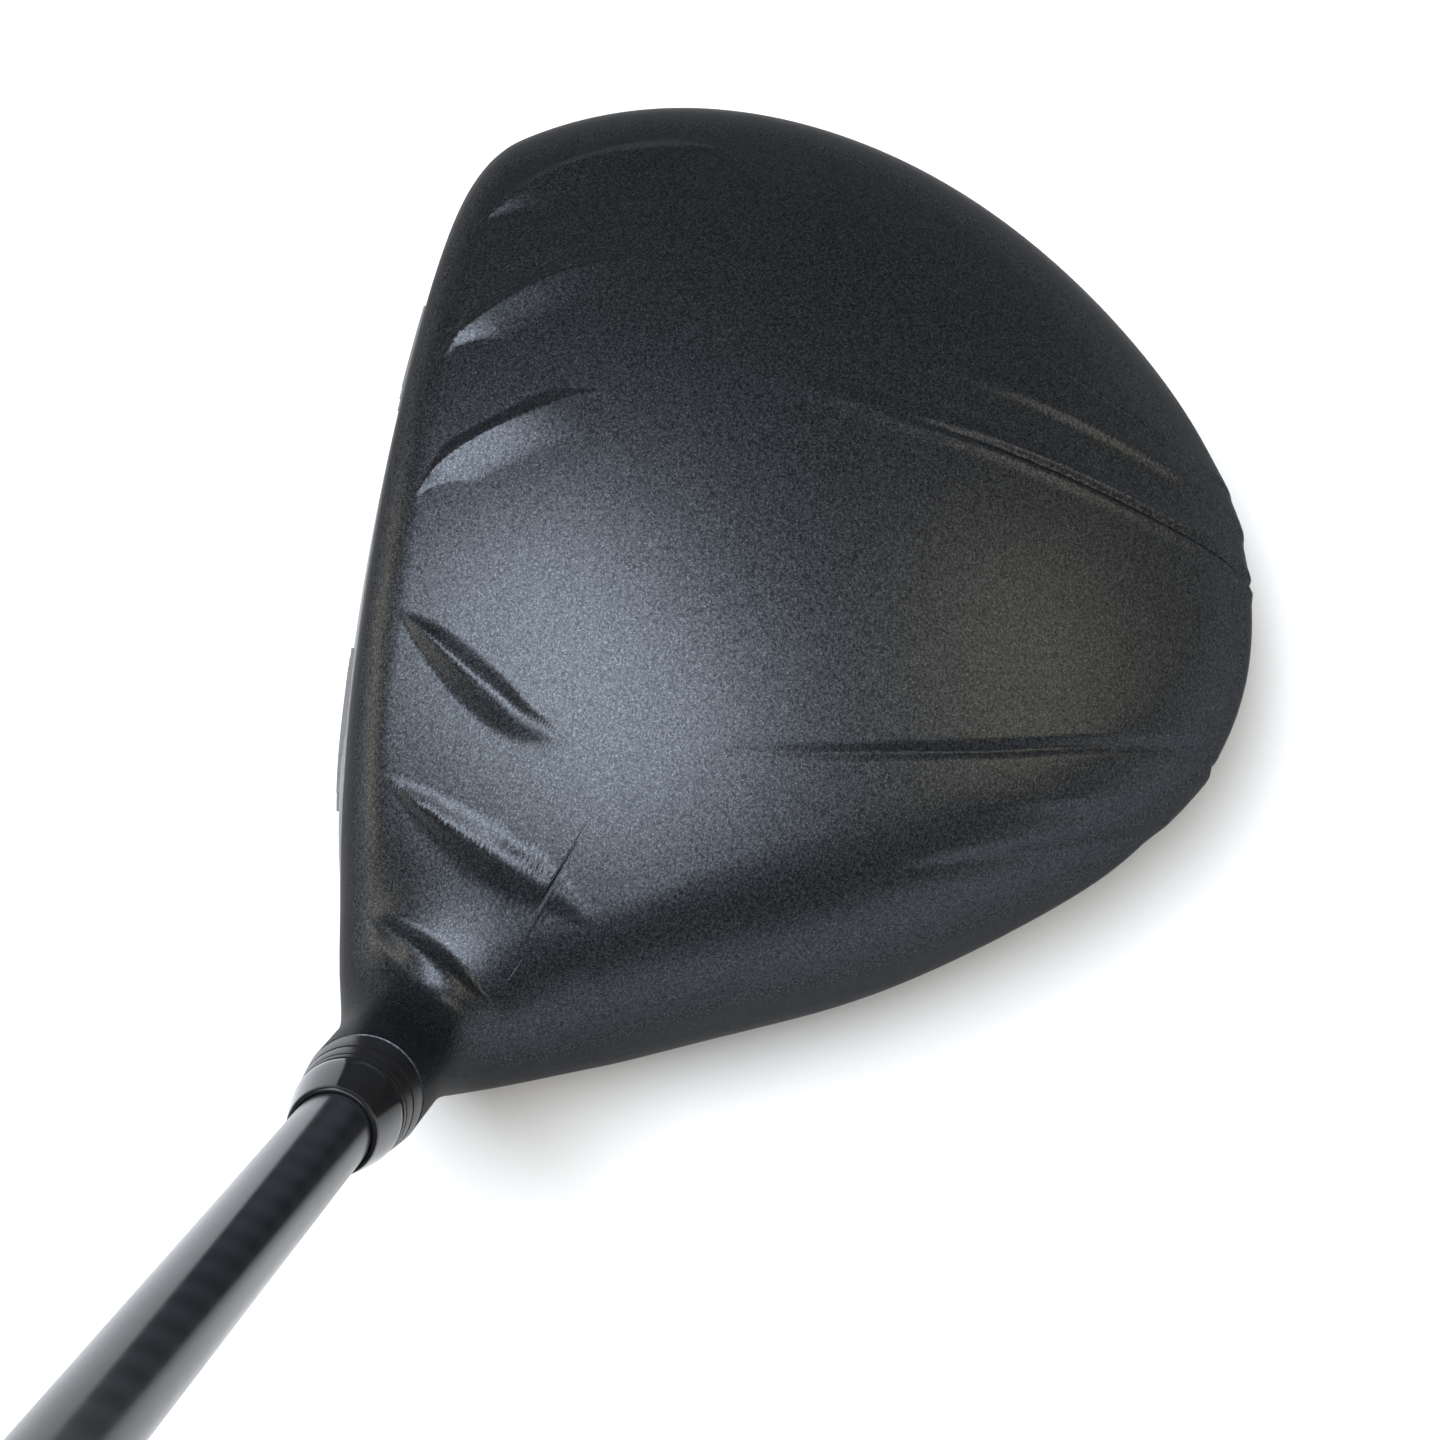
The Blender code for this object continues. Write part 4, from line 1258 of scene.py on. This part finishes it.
def grip_bars(material):
    """Raised traction bars that wind round the grip in staggered rows."""
    p = Pattern("grip_bars")
    rows = p.size("Rows", 72, "Int")
    around = p.size("Bars around", 12, "Int")
    length = p.size("Patterned length", 222 * MM)
    start = p.size("Pattern start", (GRIP_START + 20) * MM)
    bar_long = p.size("Bar length", 5.4 * MM)
    bar_wide = p.size("Bar width", 1.0 * MM)
    bar_tall = p.size("Bar height", 0.55 * MM)
    mouth = p.size("Mouth radius", GRIP_MOUTH_RADIUS * MM)
    swell = p.size("Swell", (GRIP_BUTT_RADIUS - GRIP_MOUTH_RADIUS) * MM)
    tilt = p.size("Bar tilt", 0.62)
    points = p.geo("Points", None, {0: (rows.maths("MULTIPLY", around))})
    index = p.node("GeometryNodeInputIndex")
    row = (index / around).maths("FLOOR")
    place_in_row = index - row * around
    share = row / rows
    along = start + length * share
    from_mouth = (along - GRIP_START * MM) / ((CLUB_LENGTH - GRIP_START) * MM)
    radius = mouth + swell * from_mouth**GRIP_SWELL_POWER
    angle = (place_in_row + (row.maths("MODULO", 2.0)) * 0.5) / around * (2 * math.pi)
    position = p.vector(angle.maths("COSINE") * radius, angle.maths("SINE") * radius, along)
    placed = p.geo("SetPosition", None, {0: points, "Position": position})
    bar = p.geo("MeshUVSphere", None, {"Segments": 8, "Rings": 4, "Radius": 0.5})
    leaning = (row.maths("MODULO", 2.0) * 2.0 - 1.0) * tilt
    turn = p.vector(0.0, 0.0, angle)
    upright = p.node("FunctionNodeEulerToRotation", None, {0: turn})
    lean = p.node("FunctionNodeAxisAngleToRotation", None, {0: (1.0, 0.0, 0.0), 1: leaning})
    rotation = p.node("FunctionNodeRotateRotation", {"rotation_space": "LOCAL"}, {0: upright, 1: lean})
    size = p.vector(bar_tall, bar_wide, bar_long)
    many = p.geo("InstanceOnPoints", None, {0: placed, "Instance": bar, "Rotation": rotation, "Scale": size})
    return p.build("grip_bars", many, material, to_club, 60.0)


def score_lines(material):
    """Horizontal score lines at the toe and heel of the face, lying on its bulge and roll."""
    p = Pattern("score_lines")
    rows = p.size("Lines a side", 9, "Int")
    gap = p.size("Gap between lines", 3.4 * MM)
    width = p.size("Line width", 0.7 * MM)
    depth = p.size("Line depth", 0.16 * MM)
    points = p.geo("Points", None, {0: rows * 2.0})
    index = p.node("GeometryNodeInputIndex")
    row = (index / 2.0).maths("FLOOR")
    side = index - row * 2.0
    line = p.geo("CurvePrimitiveLine", None, {"Start": (-0.5, 0.0, 0.0), "End": (0.5, 0.0, 0.0)})
    divided = p.geo("ResampleCurve", None, {0: line, "Count": 24})
    middle_z = (row - (rows - 1.0) / 2.0) * gap + PLATE_CENTRE[1] * MM
    away = ((row - (rows - 1.0) / 2.0) / rows).maths("ABSOLUTE")
    long = 16.0 * MM - away * (11.0 * MM)
    reach = 25.0 * MM - away * (5.0 * MM)
    x = (side * 2.0 - 1.0) * reach + FACE_CENTRE_X * MM
    placed = p.geo("SetPosition", None, {0: points, "Position": p.vector(x, 0.0, middle_z)})
    scale = p.vector(long, 1.0, 1.0)
    many = p.geo("InstanceOnPoints", None, {0: placed, "Instance": divided, "Scale": scale})
    whole = p.geo("RealizeInstances", None, {0: many})
    where = p.node("GeometryNodeInputPosition")
    split = p.node("ShaderNodeSeparateXYZ", None, {0: where})
    z = p.other(split, "Z")
    y = face_surface(split / MM, z / MM) * MM
    bent = p.geo("SetPosition", None, {0: whole, "Position": p.vector(split, y - 0.02 * MM, z)})
    section = p.geo("CurvePrimitiveQuadrilateral", None, {"Width": width, "Height": depth})
    swept = p.geo("CurveToMesh", None, {0: bent, 1: section, "Fill Caps": True})

    def laid_on_skin(points):
        x, y, z = points.T
        return np.stack([x, on_face(x, z)[:, 1] + y - face_surface(x, z), z], axis=1)

    return p.build("score_lines", swept, material, laid_on_skin, 30.0)


# ------------------------------
# Turned pieces
# ------------------------------


def shaft_radius(along):
    share = min(max((along - SHAFT_PARALLEL_END) / (SHAFT_END - SHAFT_PARALLEL_END), 0.0), 1.0)
    return SHAFT_TIP_RADIUS + (SHAFT_BUTT_RADIUS - SHAFT_TIP_RADIUS) * share


def shaft_bore(along):
    share = (along - SHAFT_START) / (SHAFT_END - SHAFT_START)
    return shaft_radius(along) - SHAFT_TIP_WALL - (SHAFT_BUTT_WALL - SHAFT_TIP_WALL) * share


def grip_radius(along):
    share = (along - GRIP_START) / (CLUB_LENGTH - GRIP_START)
    return GRIP_MOUTH_RADIUS + (GRIP_BUTT_RADIUS - GRIP_MOUTH_RADIUS) * share**GRIP_SWELL_POWER


def make_ring(material):
    inner = SLEEVE_RADIUS + 0.25
    lean = (RING_RADII[1] - RING_RADII[0]) / (RING_TOP - RING_BOTTOM)

    def wall(along, proud=0.0):
        return (RING_RADII[0] + lean * (along - RING_BOTTOM) + proud, along)

    profile = [(inner, RING_BOTTOM), wall(RING_BOTTOM, -0.22), wall(RING_BOTTOM + 0.22)]
    profile += [wall(73.85), wall(74.0, -0.2), wall(74.2, -0.2), wall(74.35)]
    profile += [wall(76.6), wall(76.7, -0.12), wall(76.85, -0.12), wall(76.95)]
    profile += [wall(RING_TOP - 0.2), wall(RING_TOP, -0.2), (inner, RING_TOP)]
    return turned_piece("index_ring", profile, material, rounding=0.06, segments=128)


def make_ferrule(material):
    inner_wide, inner = SLEEVE_RADIUS + 0.25, SHAFT_TIP_RADIUS + 0.1
    start = RING_TOP + 0.3
    outer = [(RING_RADII[1] - 0.2, start), (RING_RADII[1], start + 0.2), (RING_RADII[1] - 0.02, start + 0.7)]
    for share in np.linspace(0, 1, 12):
        radius = RING_RADII[1] - 0.02 + (FERRULE_TOP_RADIUS - RING_RADII[1] + 0.02) * share**1.15
        outer.append((radius, start + 0.9 + (FERRULE_TOP - 0.6 - start - 0.9) * share))
    top = [(FERRULE_TOP_RADIUS - 0.12, FERRULE_TOP - 0.15), (FERRULE_TOP_RADIUS - 0.35, FERRULE_TOP)]
    profile = [(inner_wide, start), *outer, *top, (inner, FERRULE_TOP)]
    profile += [(inner, SLEEVE_END + 0.3), (inner_wide, SLEEVE_END + 0.3)]
    return turned_piece("ferrule_cone", profile, material, rounding=0.05, segments=128)


def make_sleeve(material):
    bore, hole = SHAFT_TIP_RADIUS + 0.15, BOLT_RADIUS + 0.2
    profile = [(hole, SLEEVE_START), (SLEEVE_RADIUS - 0.6, SLEEVE_START)]
    profile += [(SLEEVE_RADIUS - 0.1, SLEEVE_START + 0.6)]
    for place in (38.0, 42.5, 60.0, 64.5):
        profile += [(SLEEVE_RADIUS - 0.1, place), (SLEEVE_RADIUS - 0.4, place + 0.3)]
        profile += [(SLEEVE_RADIUS - 0.4, place + 0.8), (SLEEVE_RADIUS - 0.1, place + 1.1)]
    profile += [(SLEEVE_RADIUS, SLEEVE_END - 0.3), (SLEEVE_RADIUS - 0.3, SLEEVE_END), (bore, SLEEVE_END)]
    profile += [(bore, SHAFT_START - 0.3), (hole, SHAFT_START - 0.3)]
    return turned_piece("adapter_tube", profile, material, rounding=0.12, segments=96)


def make_shaft(material):
    places = [SHAFT_START, 60.0, 75.0, *np.linspace(SHAFT_PARALLEL_END, SHAFT_END, 60)]
    outside = [(shaft_radius(p), float(p)) for p in places]
    inside = [(shaft_bore(p), float(p)) for p in reversed(places[::6])]
    return turned_piece("carbon_shaft", outside + inside, material, rounding=0.0, segments=96)


def make_grip(material):
    places = np.linspace(GRIP_START + 1.5, SHAFT_END, 240)
    mouth = grip_radius(GRIP_START)
    outside = [(mouth - 0.8, GRIP_START), (mouth - 0.25, GRIP_START + 0.3)]
    for place in places:
        groove = 0.0
        for middle in (GRIP_START + 8.0, GRIP_START + 12.0, SHAFT_END - 14.0, SHAFT_END - 10.0):
            groove = max(groove, 0.55 * max(0.0, 1 - ((place - middle) / 0.9) ** 2))
        outside.append((grip_radius(place) - groove, float(place)))
    inner = [(shaft_radius(p) + 0.75, float(p)) for p in np.linspace(SHAFT_END, GRIP_START, 12)]
    return turned_piece("rubber_grip", outside + inner, material, rounding=0.0, segments=96)


def make_cap(material):
    start = SHAFT_END + 0.3
    profile = [(VENT_RADIUS, start), (CAP_RADIUS - 0.5, start), (CAP_RADIUS - 0.05, start + 0.9)]
    profile += [(CAP_RADIUS, start + 2.4), (CAP_RADIUS - 0.35, CLUB_LENGTH - 1.1)]
    profile += [(CAP_RADIUS - 1.6, CLUB_LENGTH - 0.12), (CAP_RADIUS - 3.2, CLUB_LENGTH)]
    profile += [(CAP_RADIUS - 4.0, CLUB_LENGTH - 0.5), (CAP_RADIUS - 4.8, CLUB_LENGTH - 0.5)]
    profile += [(CAP_RADIUS - 5.6, CLUB_LENGTH - 0.05), (VENT_RADIUS + 0.8, CLUB_LENGTH - 0.05)]
    profile += [(VENT_RADIUS, CLUB_LENGTH - 0.6)]
    return turned_piece("butt_cap", profile, material, rounding=0.2, segments=128)


def socket_cutter(name, across, start, end, place):
    """A hexagonal bar across flats that cuts a key's socket."""
    corner = across / math.sqrt(3)
    profile = [(0, start), (corner, start), (corner, end), (0, end)]
    return new_object(name, turned_mesh(name, profile, place, 6, None))


def make_bolt(material):
    low, high = BOLT_HEAD
    profile = [(0, low), (BOLT_HEAD_RADIUS - 0.5, low)]
    profile += [(BOLT_HEAD_RADIUS, low + 0.5), (BOLT_HEAD_RADIUS, high)]
    profile += [(BOLT_RADIUS, high), (BOLT_RADIUS, 28.8), (BOLT_RADIUS - 0.28, 29.2)]
    profile += [(BOLT_RADIUS - 0.28, BOLT_TIP - 0.7), (BOLT_RADIUS - 0.8, BOLT_TIP), (0, BOLT_TIP)]
    made = turned_piece("hosel_screw", profile, material, rounding=0.15)
    cut(made, socket_cutter("bolt_key", 4.0, 4.0, low + 3.0, to_club))
    return settled(made)


def make_weight(material):
    low, clip_top, seat = -5.8, -4.6, WEIGHT_TOP - 3.0
    hole = BOLT_RADIUS + 0.3
    top = WEIGHT_TOP
    profile = [(4.6, low), (WEIGHT_RADIUS, low), (WEIGHT_RADIUS, top - 0.6), (WEIGHT_RADIUS - 0.6, top)]
    profile += [(7.4, top), (7.2, top - 0.35), (6.7, top - 0.35), (6.5, top)]
    profile += [(SCREW_HEAD_RADIUS + 0.3, top), (SCREW_HEAD_RADIUS + 0.3, seat)]
    profile += [(hole, seat), (hole, clip_top), (4.6, clip_top)]
    return turned_piece("tail_weight", profile, material, to_port, 0.15, 128)


def make_weight_screw(material):
    low, high = WEIGHT_TOP - 2.7, WEIGHT_TOP - 0.3
    profile = [(0, SCREW_TIP), (BOLT_RADIUS - 0.8, SCREW_TIP), (BOLT_RADIUS - 0.28, SCREW_TIP + 0.6)]
    profile += [(BOLT_RADIUS - 0.28, -4.2), (BOLT_RADIUS, -3.9), (BOLT_RADIUS, low), (SCREW_HEAD_RADIUS, low)]
    profile += [(SCREW_HEAD_RADIUS, high - 0.5), (SCREW_HEAD_RADIUS - 0.5, high), (0, high)]
    made = turned_piece("weight_fastener", profile, material, to_port, 0.15)
    cut(made, socket_cutter("weight_key", 4.0, high - 1.8, 8.0, to_port))
    return settled(made)


# ------------------------------
# Assembly
# ------------------------------


def attach(piece, body, slot, *nodes):
    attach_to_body(piece, body)
    if nodes:
        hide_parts(*nodes)
    return piece


def repaint(node, material):
    """Gives a CAD node that keeps its shape a finished material."""
    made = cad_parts[node]
    made.data.materials.clear()
    made.data.materials.append(material)


paint = crown_paint()
body_paint = sole_paint()
metal = face_metal()
black = anodised_black()
bolt_steel = steel("bolt_steel", (0.10, 0.10, 0.105), (0.22, 0.22, 0.23), 0.28)
bright_steel = steel("bright_steel", (0.42, 0.42, 0.43), (0.58, 0.58, 0.59), 0.24)
weight_metal = steel("weight_metal", (0.15, 0.15, 0.155), (0.28, 0.28, 0.285), 0.34)
brass = steel("brass", (0.50, 0.34, 0.12), (0.70, 0.52, 0.22), 0.30)
rubber = soft_matte("grip_rubber", (0.010, 0.010, 0.011), (0.030, 0.030, 0.031), 0.72, 2600.0)
cap_rubber = soft_matte("cap_rubber", (0.014, 0.014, 0.015), (0.034, 0.034, 0.035), 0.62, 2000.0, 0.25)
pad_rubber = soft_matte("pad_rubber", (0.010, 0.010, 0.010), (0.028, 0.028, 0.028), 0.80, 1800.0)
cork = soft_matte("cork", (0.26, 0.15, 0.07), (0.62, 0.43, 0.25), 0.85, 900.0, 0.8)
nylon = soft_matte("retainer_nylon", (0.62, 0.61, 0.57), (0.78, 0.77, 0.72), 0.50, 1500.0, 0.1)
paper = soft_matte("tape_paper", (0.58, 0.53, 0.42), (0.76, 0.71, 0.60), 0.80, 1500.0, 0.3)

joint_line = joint_climbs()
attach(make_crown(joint_line, paint), "head", "crown_paint", "crown_shell")
attach(make_body(joint_line, body_paint), "head", "body_paint", "sole_body")
attach(make_neck(paint), "head", "crown_paint", "hosel_neck")
attach(make_face(metal), "head", "face_metal", "face_plate")
attach(score_lines(groove_fill()), "head", "face_metal")

attach(make_ring(black), "index_ring", "adapter_black", "adapter_ring")
attach(make_ferrule(gloss_black()), "shaft_assembly", "ferrule_black", "ferrule")
attach(make_sleeve(black), "shaft_assembly", "adapter_black", "adapter_sleeve")
attach(make_shaft(shaft_graphite()), "shaft_assembly", "shaft_black", "shaft")
attach(make_grip(rubber), "shaft_assembly", "grip_rubber", "grip")
attach(grip_bars(rubber), "shaft_assembly", "grip_rubber")
attach(make_cap(cap_rubber), "shaft_assembly", "cap_rubber", "grip_cap")

attach(make_bolt(bolt_steel), "bolt", "bolt_steel", "hosel_bolt")
bolt_thread = thread("bolt_thread", BOLT_RADIUS - 0.3, 29.6, 39.0, to_club, bolt_steel)
attach(bolt_thread, "bolt", "bolt_steel")
attach(make_weight(weight_metal), "weight", "weight_metal", "rear_weight")
attach(make_weight_screw(bolt_steel), "weight_bolt", "bolt_steel", "weight_screw")
weight_thread = thread("weight_thread", BOLT_RADIUS - 0.3, -11.4, -4.8, to_port, bolt_steel)
attach(weight_thread, "weight_bolt", "bolt_steel")

repaint("tip_weight", brass)
repaint("tip_plug", cork)
repaint("grip_tape", paper)
repaint("bolt_washer", bright_steel)
repaint("bolt_retainer_ring", nylon)
repaint("weight_retaining_clip", bright_steel)
repaint("weight_pad", pad_rubber)


# ------------------------------
# Studio
# ------------------------------


LAMP_AIM = (0.0, 0.0, 0.04)


def make_floor():
    size = 6000.0
    vertices = [(-size, -size, -0.02), (size, -size, -0.02), (size, size, -0.02), (-size, size, -0.02)]
    floor = new_object("studio_floor", mesh_of("studio_floor", vertices, [(0, 1, 2, 3)], None), floor_paper())


def soft_box(name, place, size, power, colour):
    lamp = bpy.data.lights.new(name, "AREA")
    lamp.shape = "RECTANGLE"
    lamp.size, lamp.size_y = size
    lamp.energy = power
    lamp.color = colour
    made = bpy.data.objects.new(name, lamp)
    made.location = place
    made.rotation_euler = (Vector(LAMP_AIM) - Vector(place)).to_track_quat("-Z", "Y").to_euler()
    bpy.context.scene.collection.objects.link(made)


def make_camera():
    right = Vector((-0.14726, 0.98749, -0.05629))
    up = Vector((-0.92383, -0.11699, 0.36448))
    back = Vector((0.35333, 0.10567, 0.92951))
    place = Vector((0.20208, 0.07624, 0.53265))
    lens = bpy.data.cameras.new("studio_camera")
    lens.lens = 112.5
    lens.sensor_width = 36.0
    lens.clip_start = 0.01
    made = bpy.data.objects.new("studio_camera", lens)
    turn = Matrix((right, up, back)).transposed().to_4x4()
    made.matrix_world = Matrix.Translation(place) @ turn
    bpy.context.scene.collection.objects.link(made)
    bpy.context.scene.camera = made


make_floor()
soft_box("overhead", (0.14, -0.15, 1.25), (1.15, 0.72), 31.0, (0.88, 0.93, 1.0))
soft_box("warm_front", (0.1, -1.3, 0.30), (1.2, 0.5), 8.0, (1.0, 0.88, 0.70))
soft_box("dim_tail", (-0.2, 1.2, 0.9), (1.0, 0.7), 6.0, (1.0, 0.86, 0.62))
world = bpy.data.worlds.new("studio")
world.use_nodes = True
world.node_tree.nodes["Background"].inputs["Color"].default_value = (0.95, 0.94, 0.90, 1.0)
world.node_tree.nodes["Background"].inputs["Strength"].default_value = 0.10
bpy.context.scene.world = world
bpy.context.scene.view_settings.view_transform = "Standard"
make_camera()

bpy.context.view_layer.update()
